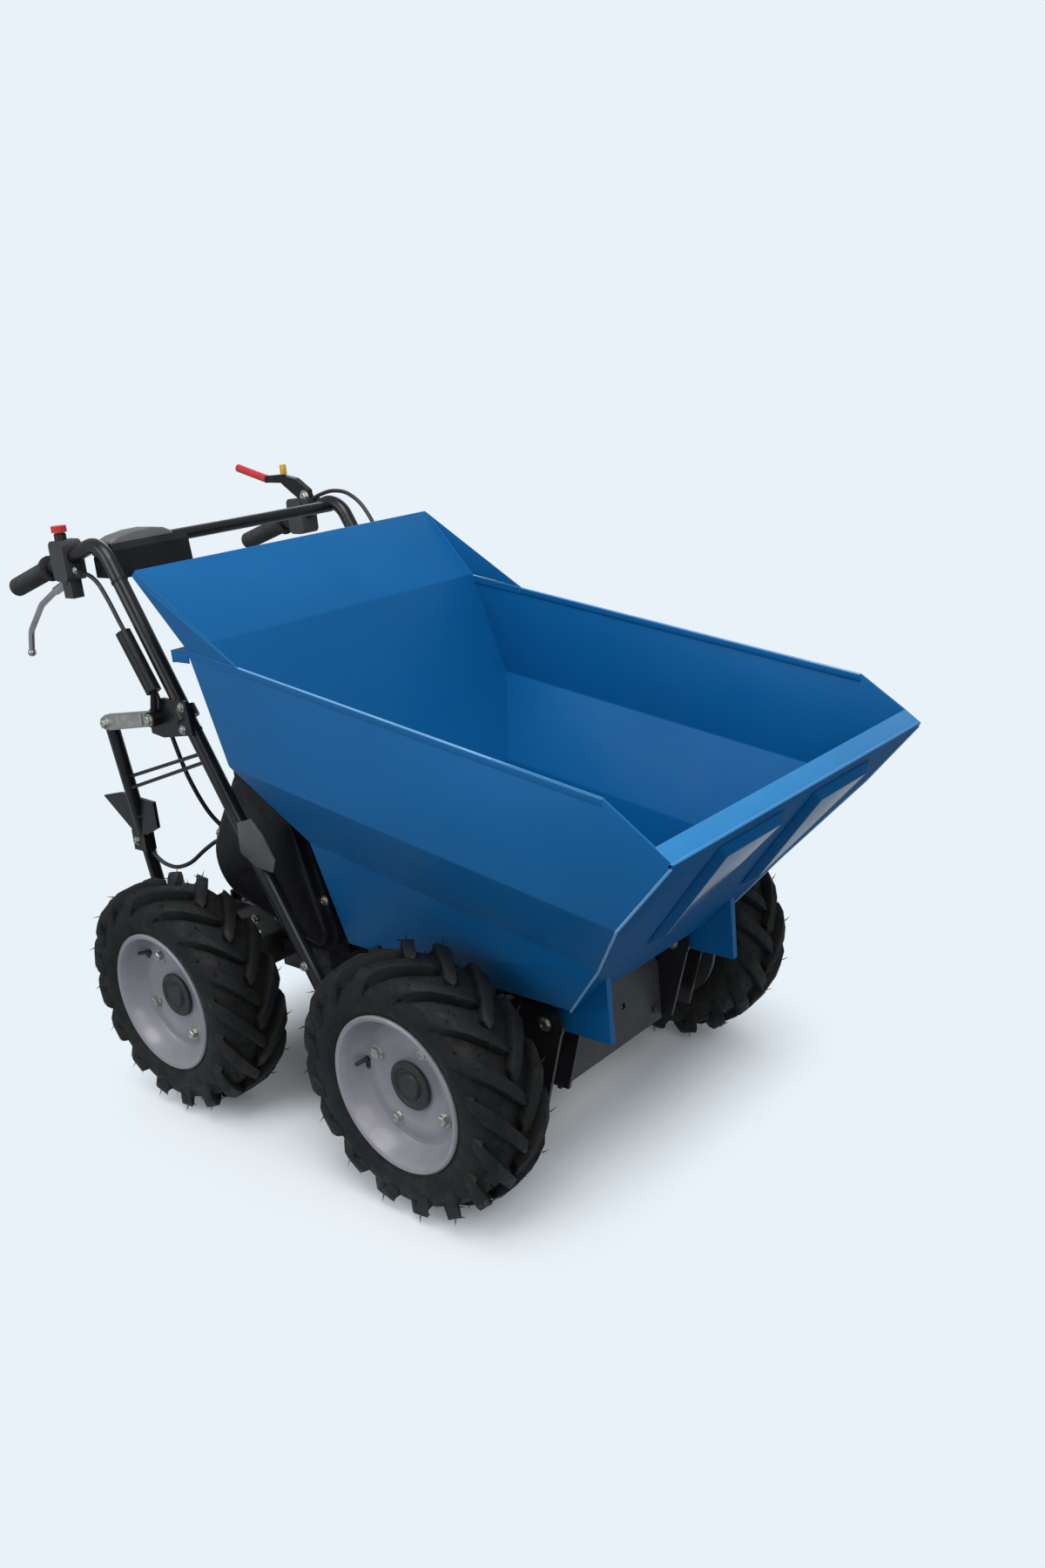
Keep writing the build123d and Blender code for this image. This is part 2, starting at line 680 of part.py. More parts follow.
def tyre_lug(flip):
    """One slanting lug above the axle, on the outward (1) or the inward (-1) half of the tread."""
    rings = []
    for edge in (-lug_half_width, lug_half_width):
        rings.append([(edge - lug_slant * (along - lug_middle), flip * along, height)
                      for along, height in tread_outline])
    corner_count = len(tread_outline)
    faces = [Face(Wire.make_polygon(ring)) for ring in rings]
    for k in range(corner_count):
        after = (k + 1) % corner_count
        faces.append(Face(Wire.make_polygon([rings[0][k], rings[0][after], rings[1][after], rings[1][k]])))
    return Solid(Shell(faces))


# Wheels: one tyre with its lugs, whose outward side is +Y
to_corner = 1 / cos(radians(180 / carcass_sides))
bore_corner = (bead_radius + bead_fit) * to_corner
flange_corner = (rim_flange_radius + bead_fit) * to_corner
with BuildPart() as one_tyre:
    loft([carcass_ring(y, radius) for y, radius in carcass_outline], ruled=True)
    extrude(carcass_ring(-shoulder_half, bore_corner), amount=-2 * shoulder_half, mode=Mode.SUBTRACT)
    loft([carcass_ring(bead_half, flange_corner), carcass_ring(shoulder_half, flange_corner + bead_flare)],
         ruled=True, mode=Mode.SUBTRACT)
    for flip, start in ((1, 0), (-1, 180 / lug_count)):
        form = tyre_lug(flip)
        add([form.rotate(Axis.Y, lug_turn + start + 360 / lug_count * k) for k in range(lug_count)])

# Wheels: tyre, rim and hub at each corner
for end, x in ends.items():
    for side, s in sides.items():
        with BuildPart() as tyre:
            turned_tyre = one_tyre.part if s > 0 else one_tyre.part.mirror(Plane.XZ)
            add(turned_tyre.moved(Location((x, s * tyre_middle, axle_height))))
        save(tyre, f"tyre_{end}_{side}")
        with BuildPart() as rim:
            add_turned(rim_profile, x, s)
        save(rim, f"rim_{end}_{side}")
        with BuildPart() as hub:
            add_turned(hub_profile, x, s)
        save(hub, f"hub_{end}_{side}")
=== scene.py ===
import bmesh
import bpy
import json
from math import cos, pi, radians, sin
from mathutils import Matrix, Vector


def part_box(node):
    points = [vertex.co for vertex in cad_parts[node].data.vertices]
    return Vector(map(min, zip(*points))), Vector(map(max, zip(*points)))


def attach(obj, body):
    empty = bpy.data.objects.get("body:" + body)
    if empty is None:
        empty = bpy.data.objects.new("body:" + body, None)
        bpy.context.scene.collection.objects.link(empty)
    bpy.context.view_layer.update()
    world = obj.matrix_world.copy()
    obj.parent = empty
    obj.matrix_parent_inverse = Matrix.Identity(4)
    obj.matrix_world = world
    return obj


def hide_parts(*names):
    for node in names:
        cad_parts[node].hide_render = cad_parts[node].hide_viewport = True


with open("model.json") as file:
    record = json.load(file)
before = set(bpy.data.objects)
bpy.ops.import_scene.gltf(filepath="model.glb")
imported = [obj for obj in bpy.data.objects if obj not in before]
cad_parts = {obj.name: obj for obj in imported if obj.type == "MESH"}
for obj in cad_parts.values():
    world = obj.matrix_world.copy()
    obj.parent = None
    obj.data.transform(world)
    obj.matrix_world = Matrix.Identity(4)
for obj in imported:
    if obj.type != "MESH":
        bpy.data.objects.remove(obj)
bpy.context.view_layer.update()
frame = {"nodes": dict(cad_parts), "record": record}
print("frame loaded,", len(frame["nodes"]), "nodes")

sides = {"left": 1, "right": -1}
hubs = {"front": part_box("hub_front_left"), "rear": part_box("hub_rear_left")}
axles = {end: (box[0].x + box[1].x) / 2 for end, box in hubs.items()}    # places along the machine
axleHeight = 0.190


# finishes

texture = {"patchDetail": 4.0, "smearScale": 2.7, "smearDetail": 5.0, "filmDetail": 5.0, "grainDetail": 2.0}


def addNoise(tree, place, scale, detail):
    noise = tree.nodes.new("ShaderNodeTexNoise")
    noise.inputs["Scale"].default_value = scale
    noise.inputs["Detail"].default_value = detail
    tree.links.new(place.outputs["Object"], noise.inputs["Vector"])
    return noise.outputs["Fac"]


def addRange(tree, source, low, high, fromLow=0.35, fromHigh=0.65):
    spread = tree.nodes.new("ShaderNodeMapRange")
    spread.inputs["From Min"].default_value = fromLow
    spread.inputs["From Max"].default_value = fromHigh
    spread.inputs["To Min"].default_value = low
    spread.inputs["To Max"].default_value = high
    tree.links.new(source, spread.inputs["Value"])
    return spread.outputs["Result"]


def addBlend(tree, share, first, second):
    mix = tree.nodes.new("ShaderNodeMix")
    mix.data_type = "RGBA"
    tree.links.new(share, mix.inputs[0])
    for socket, colour in ((mix.inputs[6], first), (mix.inputs[7], second)):
        if isinstance(colour, tuple):
            socket.default_value = (*colour, 1)
        else:
            tree.links.new(colour, socket)
    return mix.outputs[2]


def makeFinish(name, look):
    material = bpy.data.materials.new(name)
    material.use_nodes = True
    tree = material.node_tree
    shader = tree.nodes["Principled BSDF"]
    shader.inputs["Metallic"].default_value = look.get("metallic", 0)
    shader.inputs["Coat Weight"].default_value = look.get("coat", 0)
    shader.inputs["Coat Roughness"].default_value = look.get("coatRoughness", 0.08)
    shader.inputs["Specular IOR Level"].default_value = look.get("specular", 0.5)
    place = tree.nodes.new("ShaderNodeTexCoord")
    patches = addNoise(tree, place, look["patchScale"], texture["patchDetail"])
    colour = addBlend(tree, addRange(tree, patches, 0, 1), look["colour"], look["shade"])
    if "dust" in look:                                # pale film that thickens towards the ground
        height = tree.nodes.new("ShaderNodeSeparateXYZ")
        tree.links.new(place.outputs["Object"], height.inputs["Vector"])
        film = addNoise(tree, place, look["dustScale"], texture["filmDetail"])
        low = addRange(tree, height.outputs["Z"], look["dustAmount"], 0, 0.0, look["dustHeight"])
        product = tree.nodes.new("ShaderNodeMath")
        product.operation = "MULTIPLY"
        tree.links.new(low, product.inputs[0])
        tree.links.new(addRange(tree, film, 0, 1), product.inputs[1])
        colour = addBlend(tree, product.outputs["Value"], colour, look["dust"])
    tree.links.new(colour, shader.inputs["Base Color"])
    smears = addNoise(tree, place, look["patchScale"] * texture["smearScale"], texture["smearDetail"])
    tree.links.new(addRange(tree, smears, *look["roughness"]), shader.inputs["Roughness"])
    grainScale, grainHeight, grainStrength = look["grain"]
    bump = tree.nodes.new("ShaderNodeBump")
    bump.inputs["Strength"].default_value = grainStrength
    bump.inputs["Distance"].default_value = grainHeight
    tree.links.new(addNoise(tree, place, grainScale, texture["grainDetail"]), bump.inputs["Height"])
    tree.links.new(bump.outputs["Normal"], shader.inputs["Normal"])
    return material


bluePaint = makeFinish("bluePaint", {
    "colour": (0.003, 0.118, 0.330), "shade": (0.002, 0.106, 0.300), "patchScale": 3.0,
    "roughness": (0.36, 0.46), "grain": (420, 0.0006, 0.12), "specular": 0.22})
# a darker copy of the blue paint, with little gloss: painted shade for the front panel, which looks down and
# forward
shadedPanelPaint = makeFinish("shadedPanelPaint", {
    "colour": (0.003, 0.095, 0.270), "shade": (0.002, 0.085, 0.245), "patchScale": 3.0,
    "roughness": (0.42, 0.52), "grain": (420, 0.0006, 0.12), "specular": 0.03})
# a lighter copy of the blue paint: painted light for the lip, which faces up
litLipPaint = makeFinish("litLipPaint", {
    "colour": (0.030, 0.235, 0.540), "shade": (0.022, 0.205, 0.490), "patchScale": 5.0,
    "roughness": (0.24, 0.34), "grain": (420, 0.0005, 0.12), "specular": 0.5})
# a pale blue that stands for a painted highlight on the hems' tops, the corner bars and the lip's rolled edge
highlightPaint = makeFinish("highlightPaint", {
    "colour": (0.170, 0.370, 0.620), "shade": (0.120, 0.300, 0.560), "patchScale": 14.0,
    "roughness": (0.2, 0.3), "grain": (500, 0.0004, 0.12), "specular": 0.6})
flutePaint = makeFinish("flutePaint", {
    "colour": (0.004, 0.125, 0.345), "shade": (0.003, 0.112, 0.315), "patchScale": 6.0,
    "roughness": (0.16, 0.24), "grain": (420, 0.0004, 0.1), "specular": 0.45, "coat": 0.45})
blackPaint = makeFinish("blackPaint", {
    "colour": (0.007, 0.007, 0.009), "shade": (0.011, 0.011, 0.013), "patchScale": 9.0,
    "roughness": (0.24, 0.38), "grain": (520, 0.0005, 0.15), "coat": 0.2, "coatRoughness": 0.2,
    "specular": 0.35, "dust": (0.11, 0.10, 0.09), "dustScale": 14, "dustAmount": 0.12, "dustHeight": 0.35})
platePaint = makeFinish("platePaint", {
    "colour": (0.045, 0.045, 0.048), "shade": (0.033, 0.033, 0.036), "patchScale": 11.0,
    "roughness": (0.35, 0.5), "grain": (600, 0.0005, 0.2)})
castIron = makeFinish("castIron", {
    "colour": (0.016, 0.016, 0.018), "shade": (0.030, 0.029, 0.028), "patchScale": 24.0,
    "roughness": (0.45, 0.65), "grain": (260, 0.0012, 0.45)})
tyreRubber = makeFinish("tyreRubber", {
    "colour": (0.0050, 0.0054, 0.0060), "shade": (0.008, 0.0084, 0.009), "patchScale": 26.0,
    "roughness": (0.55, 0.78), "grain": (340, 0.0011, 0.5), "specular": 0.3, "dust": (0.10, 0.096, 0.090),
    "dustScale": 30, "dustAmount": 0.14, "dustHeight": 0.26})
rimEnamel = makeFinish("rimEnamel", {
    "colour": (0.300, 0.292, 0.330), "shade": (0.255, 0.250, 0.285), "patchScale": 12.0,
    "roughness": (0.28, 0.42), "grain": (480, 0.0006, 0.2), "coat": 0.2, "dust": (0.20, 0.18, 0.15),
    "dustScale": 40, "dustAmount": 0.30, "dustHeight": 0.26})
hubPlastic = makeFinish("hubPlastic", {
    "colour": (0.018, 0.018, 0.020), "shade": (0.030, 0.030, 0.033), "patchScale": 60.0,
    "roughness": (0.4, 0.6), "grain": (700, 0.0005, 0.3)})
gripRubber = makeFinish("gripRubber", {
    "colour": (0.014, 0.014, 0.015), "shade": (0.026, 0.026, 0.027), "patchScale": 45.0,
    "roughness": (0.55, 0.75), "grain": (900, 0.0005, 0.4)})
blackPlastic = makeFinish("blackPlastic", {
    "colour": (0.006, 0.006, 0.008), "shade": (0.011, 0.011, 0.013), "patchScale": 16.0,
    "roughness": (0.36, 0.52), "grain": (800, 0.0005, 0.35), "specular": 0.3})
greyPlastic = makeFinish("greyPlastic", {
    "colour": (0.085, 0.085, 0.088), "shade": (0.065, 0.065, 0.068), "patchScale": 20.0,
    "roughness": (0.34, 0.46), "grain": (700, 0.0004, 0.25)})
capPlastic = makeFinish("capPlastic", {
    "colour": (0.150, 0.152, 0.156), "shade": (0.120, 0.122, 0.126), "patchScale": 20.0,
    "roughness": (0.34, 0.46), "grain": (700, 0.0004, 0.25)})
alloy = makeFinish("alloy", {
    "colour": (0.50, 0.50, 0.50), "shade": (0.40, 0.40, 0.405), "patchScale": 40.0,
    "roughness": (0.26, 0.42), "grain": (500, 0.0005, 0.2), "metallic": 0.9})
engineAlloy = makeFinish("engineAlloy", {
    "colour": (0.30, 0.30, 0.305), "shade": (0.20, 0.20, 0.205), "patchScale": 22.0,
    "roughness": (0.42, 0.62), "grain": (420, 0.0010, 0.5), "metallic": 0.75})
zinc = makeFinish("zinc", {
    "colour": (0.62, 0.60, 0.55), "shade": (0.45, 0.45, 0.43), "patchScale": 70.0,
    "roughness": (0.22, 0.38), "grain": (700, 0.0004, 0.2), "metallic": 0.95})
heatSteel = makeFinish("heatSteel", {
    "colour": (0.24, 0.23, 0.22), "shade": (0.20, 0.14, 0.09), "patchScale": 14.0,
    "roughness": (0.35, 0.55), "grain": (600, 0.0005, 0.25), "metallic": 0.85})
redDip = makeFinish("redDip", {
    "colour": (0.60, 0.025, 0.025), "shade": (0.50, 0.020, 0.020), "patchScale": 50.0,
    "roughness": (0.28, 0.4), "grain": (500, 0.0005, 0.2), "coat": 0.3})
yellowPlastic = makeFinish("yellowPlastic", {
    "colour": (0.70, 0.42, 0.03), "shade": (0.62, 0.36, 0.03), "patchScale": 60.0,
    "roughness": (0.35, 0.45), "grain": (600, 0.0004, 0.2)})
cableSheath = makeFinish("cableSheath", {
    "colour": (0.013, 0.013, 0.014), "shade": (0.020, 0.020, 0.021), "patchScale": 60.0,
    "roughness": (0.3, 0.45), "grain": (900, 0.0003, 0.2)})
print("finishes made")


# building blocks

def addObject(name, data):
    item = bpy.data.objects.new(name, data)
    bpy.context.scene.collection.objects.link(item)
    return item


def newPiece(name, points, faces):
    mesh = bpy.data.meshes.new(name)
    mesh.from_pydata([tuple(point) for point in points], [], faces)
    mesh.validate()
    return addObject(name, mesh)


def smooth(piece, angle):
    # soft shading, with edges sharper than the angle left crisp
    piece.data.shade_smooth()
    piece.data.set_sharp_from_angle(angle=radians(angle))
    return piece


def settle(piece, angle=35):
    # the modifiers' result, or the curve's, becomes the piece's own plain mesh
    bpy.context.view_layer.update()
    graph = bpy.context.evaluated_depsgraph_get()
    mesh = bpy.data.meshes.new_from_object(piece.evaluated_get(graph))
    if piece.type == "MESH":
        draft = piece.data
        piece.modifiers.clear()
        piece.data = mesh
        bpy.data.meshes.remove(draft)
    else:
        name = piece.name
        bpy.data.objects.remove(piece)
        piece = addObject(name, mesh)
    return smooth(piece, angle)


def merged(piece, reach, closed=False):
    # corners that meet become one, and a closed shape's faces look outwards
    shape = bmesh.new()
    shape.from_mesh(piece.data)
    bmesh.ops.remove_doubles(shape, verts=shape.verts, dist=reach)
    if closed:
        bmesh.ops.recalc_face_normals(shape, faces=shape.faces)
    shape.to_mesh(piece.data)
    shape.free()
    return piece


def outwards(piece):
    return merged(piece, 1e-6, closed=True)


def bevel(piece, width, segments, angle=30):
    # edges sharper than the angle get rounded
    edge = piece.modifiers.new("edges", "BEVEL")
    edge.width = width
    edge.segments = segments
    edge.limit_method = "ANGLE"
    edge.angle_limit = radians(angle)
    return piece


def dress(piece, finish, body, slot, *nodes):
    piece.data.materials.clear()
    piece.data.materials.append(finish)
    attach(piece, body)
    if nodes:
        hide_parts(*nodes)
    return piece


def paintFaces(piece, finish, direction, limit=0.93, where=lambda middle: True):
    # the faces that look along the direction get a finish of their own
    piece.data.materials.append(finish)
    for face in piece.data.polygons:
        if face.normal.dot(Vector(direction)) > limit and where(face.center):
            face.material_index = len(piece.data.materials) - 1


def joined(name, pieces):
    # one object from several plain ones
    shape = bmesh.new()
    for piece in pieces:
        shape.from_mesh(piece.data)
    mesh = bpy.data.meshes.new(name)
    shape.to_mesh(mesh)
    shape.free()
    for piece in pieces:
        bpy.data.objects.remove(piece)
    return addObject(name, mesh)


def lathe(name, profile, segments, place=Matrix.Identity(4)):
    # profile is (radius, distance along the axis); the axis is the local Z of place
    points = []
    faces = []
    count = len(profile)
    for step in range(segments):
        turn = 2 * pi * step / segments
        for radius, along in profile:
            points.append(place @ Vector((radius * cos(turn), radius * sin(turn), along)))
    for step in range(segments):
        here = step * count
        there = ((step + 1) % segments) * count
        for k in range(count - 1):
            faces.append((here + k, there + k, there + k + 1, here + k + 1))
    return outwards(newPiece(name, points, faces))


def boxPiece(name, low, high, edge):
    # edge is the width and the segments of the rounded edges
    points = [(x, y, z) for x in (low[0], high[0]) for y in (low[1], high[1]) for z in (low[2], high[2])]
    faces = [(0, 1, 3, 2), (4, 6, 7, 5), (0, 4, 5, 1), (2, 3, 7, 6), (0, 2, 6, 4), (1, 5, 7, 3)]
    return settle(bevel(outwards(newPiece(name, points, faces)), *edge))


def platePiece(name, outline, planes, edge):
    # outline is (x, z) points; the plate lies between two planes across the machine
    count = len(outline)
    points = [(x, y, z) for y in planes for x, z in outline]
    faces = [tuple(range(count)), tuple(range(2 * count - 1, count - 1, -1))]
    faces += [(k, (k + 1) % count, count + (k + 1) % count, count + k) for k in range(count)]
    return settle(bevel(outwards(newPiece(name, points, faces)), *edge))


def axisPlace(start, direction):
    # a place whose local Z runs along the direction
    turn = Vector(direction).to_track_quat("Z", "Y").to_matrix().to_4x4()
    return Matrix.Translation(Vector(start)) @ turn


def rope(name, route, radius, steps):
    # a round bar or cord on a smooth line that the points of its route guide
    curve = bpy.data.curves.new(name, "CURVE")
    curve.dimensions = "3D"
    curve.bevel_depth = radius
    curve.bevel_resolution = 2
    curve.use_fill_caps = True
    line = curve.splines.new("NURBS")
    line.points.add(len(route) - 1)
    for point, spot in zip(line.points, route):
        point.co = (*spot, 1)
    line.use_endpoint_u = True
    line.order_u = 3
    line.resolution_u = steps
    return settle(addObject(name, curve), angle=50)


def openTree(name, inputs):
    # a tree that takes a shape, the named inputs and a finish, and copies the shape to points
    tree = bpy.data.node_groups.new(name, "GeometryNodeTree")
    for label, kind in (("Geometry", "Geometry"), *inputs, ("Finish", "Material")):
        tree.interface.new_socket(label, in_out="INPUT", socket_type=f"NodeSocket{kind}")
    tree.interface.new_socket("Geometry", in_out="OUTPUT", socket_type="NodeSocketGeometry")
    start = tree.nodes.new("NodeGroupInput")
    copies = tree.nodes.new("GeometryNodeInstanceOnPoints")
    tree.links.new(start.outputs["Geometry"], copies.inputs["Instance"])
    return tree, start, copies


def closeTree(tree, start, copies):
    # the copies become plain faces and get the finish
    real = tree.nodes.new("GeometryNodeRealizeInstances")
    painted = tree.nodes.new("GeometryNodeSetMaterial")
    end = tree.nodes.new("NodeGroupOutput")
    tree.links.new(copies.outputs["Instances"], real.inputs["Geometry"])
    tree.links.new(real.outputs["Geometry"], painted.inputs["Geometry"])
    tree.links.new(start.outputs["Finish"], painted.inputs["Material"])
    tree.links.new(painted.outputs["Geometry"], end.inputs["Geometry"])
    return tree


def makeRing():
    # copies turned evenly about an axis through the origin
    tree, start, copies = openTree("ringOfCopies", [("Count", "Int"), ("Axis", "Vector"), ("Start", "Float")])
    spots = tree.nodes.new("GeometryNodePoints")
    index = tree.nodes.new("GeometryNodeInputIndex")
    step = tree.nodes.new("ShaderNodeMath")
    step.operation = "DIVIDE"
    step.inputs[0].default_value = 2 * pi
    angle = tree.nodes.new("ShaderNodeMath")
    angle.operation = "MULTIPLY_ADD"
    turn = tree.nodes.new("FunctionNodeAxisAngleToRotation")
    for source, target in (
            (start.outputs["Count"], spots.inputs["Count"]), (start.outputs["Count"], step.inputs[1]),
            (index.outputs["Index"], angle.inputs[0]), (step.outputs["Value"], angle.inputs[1]),
            (start.outputs["Start"], angle.inputs[2]), (start.outputs["Axis"], turn.inputs["Axis"]),
            (angle.outputs["Value"], turn.inputs["Angle"]),
            (turn.outputs["Rotation"], copies.inputs["Rotation"]),
            (spots.outputs["Points"], copies.inputs["Points"])):
        tree.links.new(source, target)
    return closeTree(tree, start, copies)


def makeRow():
    # copies at even steps along a line
    tree, start, copies = openTree("rowOfCopies", [("Count", "Int"), ("Step", "Vector")])
    spots = tree.nodes.new("GeometryNodeMeshLine")
    tree.links.new(start.outputs["Count"], spots.inputs["Count"])
    tree.links.new(start.outputs["Step"], spots.inputs["Offset"])
    tree.links.new(spots.outputs["Mesh"], copies.inputs["Points"])
    return closeTree(tree, start, copies)


def repeat(piece, tree, **values):
    modifier = piece.modifiers.new("repeat", "NODES")
    modifier.node_group = tree
    for item in tree.interface.items_tree:
        if item.in_out == "INPUT" and item.name in values:
            modifier[item.identifier] = values[item.name]
    return settle(piece)


ring = makeRing()
row = makeRow()
print("building blocks ready")


# bucket: folded sheets with rounded bends, in the outline of the construction

bucketShape = {
    "sheet": 0.003, "bend": (0.0045, 3, 8),           # thickness; width, segments and least angle
    "halfWidth": 0.301, "waistHalf": 0.223, "floorHalf": 0.187,
    "boardTop": (-0.245, 0.860), "rearTop": (-0.140, 0.759), "rearFold": (-0.085, 0.593),
    "rearWaist": (-0.028, 0.461), "rearFloor": (-0.015, 0.286), "frontFloor": (0.419, 0.286),
    "frontWaist": (0.500, 0.377), "frontFold": (0.596, 0.484), "lipEdge": (0.681, 0.579),
    "lipBack": (0.657, 0.597), "sideEnd": (0.592, 0.642), "wingEnd": (-0.030, 0.742),
    "cornerFacet": (0.035, 0.573), "middle": (0.175, 0.0, 0.500),
    # the ways that the front panel and the lip face, and where the lip starts
    "panelWay": (0.745, 0, -0.667), "lipWay": (0.600, 0, 0.800), "lipStart": 0.6}


def bucketPoint(name, side):
    halves = {"rearWaist": "waistHalf", "frontWaist": "waistHalf", "rearFloor": "floorHalf",
              "frontFloor": "floorHalf"}
    x, z = bucketShape[name]
    return Vector((x, side * bucketShape[halves.get(name, "halfWidth")], z))


def across(low, high):
    # the panel between two bends that run over the whole width
    return [(low, -1), (low, 1), (high, 1), (high, -1)]


def sheetPiece(name, panels):
    # panels are lists of (corner name, side); corners that meet are merged, so the bends are continuous
    points = []
    faces = []
    middle = Vector(bucketShape["middle"])
    for panel in panels:
        corners = [bucketPoint(*corner) for corner in panel]
        normal = (corners[1] - corners[0]).cross(corners[2] - corners[1])
        centre = sum(corners, Vector()) / len(corners)
        if normal.dot(centre - middle) < 0:
            corners.reverse()
        faces.append(tuple(range(len(points), len(points) + len(corners))))
        points += corners
    piece = merged(newPiece(name, points, faces), 1e-5)
    thick = piece.modifiers.new("sheet", "SOLIDIFY")
    thick.thickness = bucketShape["sheet"]
    thick.offset = -1
    thick.use_even_offset = True
    bevel(piece, *bucketShape["bend"])
    piece.modifiers["edges"].use_clamp_overlap = True
    return settle(piece, angle=30)


for side, s in sides.items():
    panels = [
        [("rearTop", s), ("sideEnd", s), ("lipBack", s), ("lipEdge", s), ("frontFold", s), ("cornerFacet", s),
         ("rearFold", s)],
        [("cornerFacet", s), ("frontFold", s), ("frontWaist", s), ("rearWaist", s)],
        [("rearFold", s), ("cornerFacet", s), ("rearWaist", s)],
        [("rearFloor", s), ("rearWaist", s), ("frontWaist", s)],
        [("frontWaist", s), ("frontFloor", s), ("rearFloor", s)]]
    sheet = sheetPiece(f"bucketSide.{side}", panels)
    dress(sheet, bluePaint, "bucket", "bucket_paint", f"bucket_side_{side}")

panPanels = [
    across("boardTop", "rearTop"), across("rearTop", "rearFold"), across("rearFold", "rearWaist"),
    across("rearWaist", "rearFloor"), across("rearFloor", "frontFloor"), across("lipEdge", "lipBack"),
    [("frontFloor", -1), ("frontFloor", 1), ("frontWaist", 1), ("frontFold", 1), ("lipEdge", 1),
     ("lipEdge", -1), ("frontFold", -1), ("frontWaist", -1)],
    [("rearTop", 1), ("wingEnd", 1), ("boardTop", 1)], [("rearTop", -1), ("wingEnd", -1), ("boardTop", -1)]]
pan = sheetPiece("bucketPan", panPanels)
dress(pan, bluePaint, "bucket", "bucket_paint", "bucket_pan", "headboard")
# the faces that look down and forward get the darker blue, painted shade
paintFaces(pan, shadedPanelPaint, bucketShape["panelWay"])
# the lip's faces that look up get the lighter blue, painted light
paintFaces(pan, litLipPaint, bucketShape["lipWay"], where=lambda middle: middle.x > bucketShape["lipStart"])
print("bucket sheets folded")


# bucket trim: hems and wing feet, thin bars on the front corner bends, the lip's rolled edge, the flange's
# ends and the flutes; the hems' tops, the corner bars and the rolled edge carry a painted highlight in pale
# blue

bucketTrim = {
    "hemDepth": 0.012, "hemOut": 0.0004, "hemIn": 0.0046, "hemEdge": (0.0024, 3), "footEdge": (0.0010, 1),
    "hemWay": (0.16, 0, 0.987), "hemLimit": 0.6,
    "highlightBead": ["lipEdge", "frontFold", "frontFold", "frontWaist", "frontWaist", "frontFloor"],
    "highlightBeadStart": 0.05, "highlightBeadInset": 0.0004, "highlightBeadRadius": 0.0019,
    "roll": [(0.6742, 0.5732), (0.6808, 0.5788), (0.6770, 0.5822), (0.6704, 0.5768)], "rollEdge": (0.0014, 3),
    "capLow": (-0.1775, 0.2985, 0.7385), "capHigh": (-0.1390, 0.3008, 0.7560), "capEdge": (0.0008, 2),
    "fluteRoot": [(0.66215, 0.035, 0.55763), (0.66215, 0.185, 0.55763), (0.49215, 0.113, 0.36751)],
    "fluteTop": [(0.66374, 0.0496, 0.54171), (0.66374, 0.17072, 0.54171), (0.52648, 0.11259, 0.38819)],
    "fluteEdge": (0.0016, 2, 20), "fluteLimit": 0.97}


def edgeStrip(name, s, ends, edge):
    # a strip round the sheet, just below its edge between two corners
    upper = [bucketShape[end] for end in ends]
    lower = [(x, z - bucketTrim["hemDepth"]) for x, z in reversed(upper)]
    reaches = (bucketTrim["hemOut"], -bucketTrim["hemIn"])
    planes = [s * (bucketShape["halfWidth"] + reach) for reach in reaches]
    return dress(platePiece(name, upper + lower, planes, edge), bluePaint, "bucket", "bucket_paint")


def makeFlute(s):
    # the raised form stands on the panel; its top is smaller than its root
    corners = [Vector((x, s * y, z)) for x, y, z in bucketTrim["fluteRoot"] + bucketTrim["fluteTop"]]
    faces = [(0, 1, 2), (3, 5, 4), (0, 3, 4, 1), (1, 4, 5, 2), (2, 5, 3, 0)]
    return settle(bevel(outwards(newPiece("flute", corners, faces)), *bucketTrim["fluteEdge"]))


middle = Vector(bucketShape["middle"])
for side, s in sides.items():
    hem = edgeStrip(f"sideHem.{side}", s, ("wingEnd", "sideEnd"), bucketTrim["hemEdge"])
    # the hem's top faces get the pale blue, a painted highlight
    paintFaces(hem, highlightPaint, bucketTrim["hemWay"], bucketTrim["hemLimit"])
    edgeStrip(f"wingFoot.{side}", s, ("rearTop", "wingEnd"), bucketTrim["footEdge"])
    # a thin pale bar along each front corner bend: a painted highlight on the bend
    highlightBead = [bucketPoint(name, s) for name in bucketTrim["highlightBead"]]
    highlightBead[0] = highlightBead[0].lerp(highlightBead[1], bucketTrim["highlightBeadStart"])
    highlightBead = [spot + (middle - spot).normalized() * bucketTrim["highlightBeadInset"] for spot in highlightBead]
    dress(rope(f"cornerHighlightBead.{side}", highlightBead, bucketTrim["highlightBeadRadius"], 8), highlightPaint, "bucket", "bucket_paint")
planes = (-bucketShape["halfWidth"], bucketShape["halfWidth"])
# the lip's rolled edge is pale blue all over, a painted highlight
roll = platePiece("lipRoll", bucketTrim["roll"], planes, bucketTrim["rollEdge"])
dress(roll, highlightPaint, "bucket", "bucket_paint")
for s in sides.values():
    low, high = [(x, s * y, z) for x, y, z in (bucketTrim["capLow"], bucketTrim["capHigh"])]
    dress(boxPiece("flangeCap", low, high, bucketTrim["capEdge"]), bluePaint, "bucket", "bucket_paint")
# the flutes' sides take the same darker blue, painted shade; their tops get a glossier paint
flutes = joined("flutes", [makeFlute(1), makeFlute(-1)])
dress(flutes, shadedPanelPaint, "bucket", "bucket_paint", "front_ribs")
paintFaces(flutes, flutePaint, bucketShape["panelWay"], bucketTrim["fluteLimit"])
print("bucket trimmed")


# tyres: a carcass turned about the axle and two staggered rings of lugs

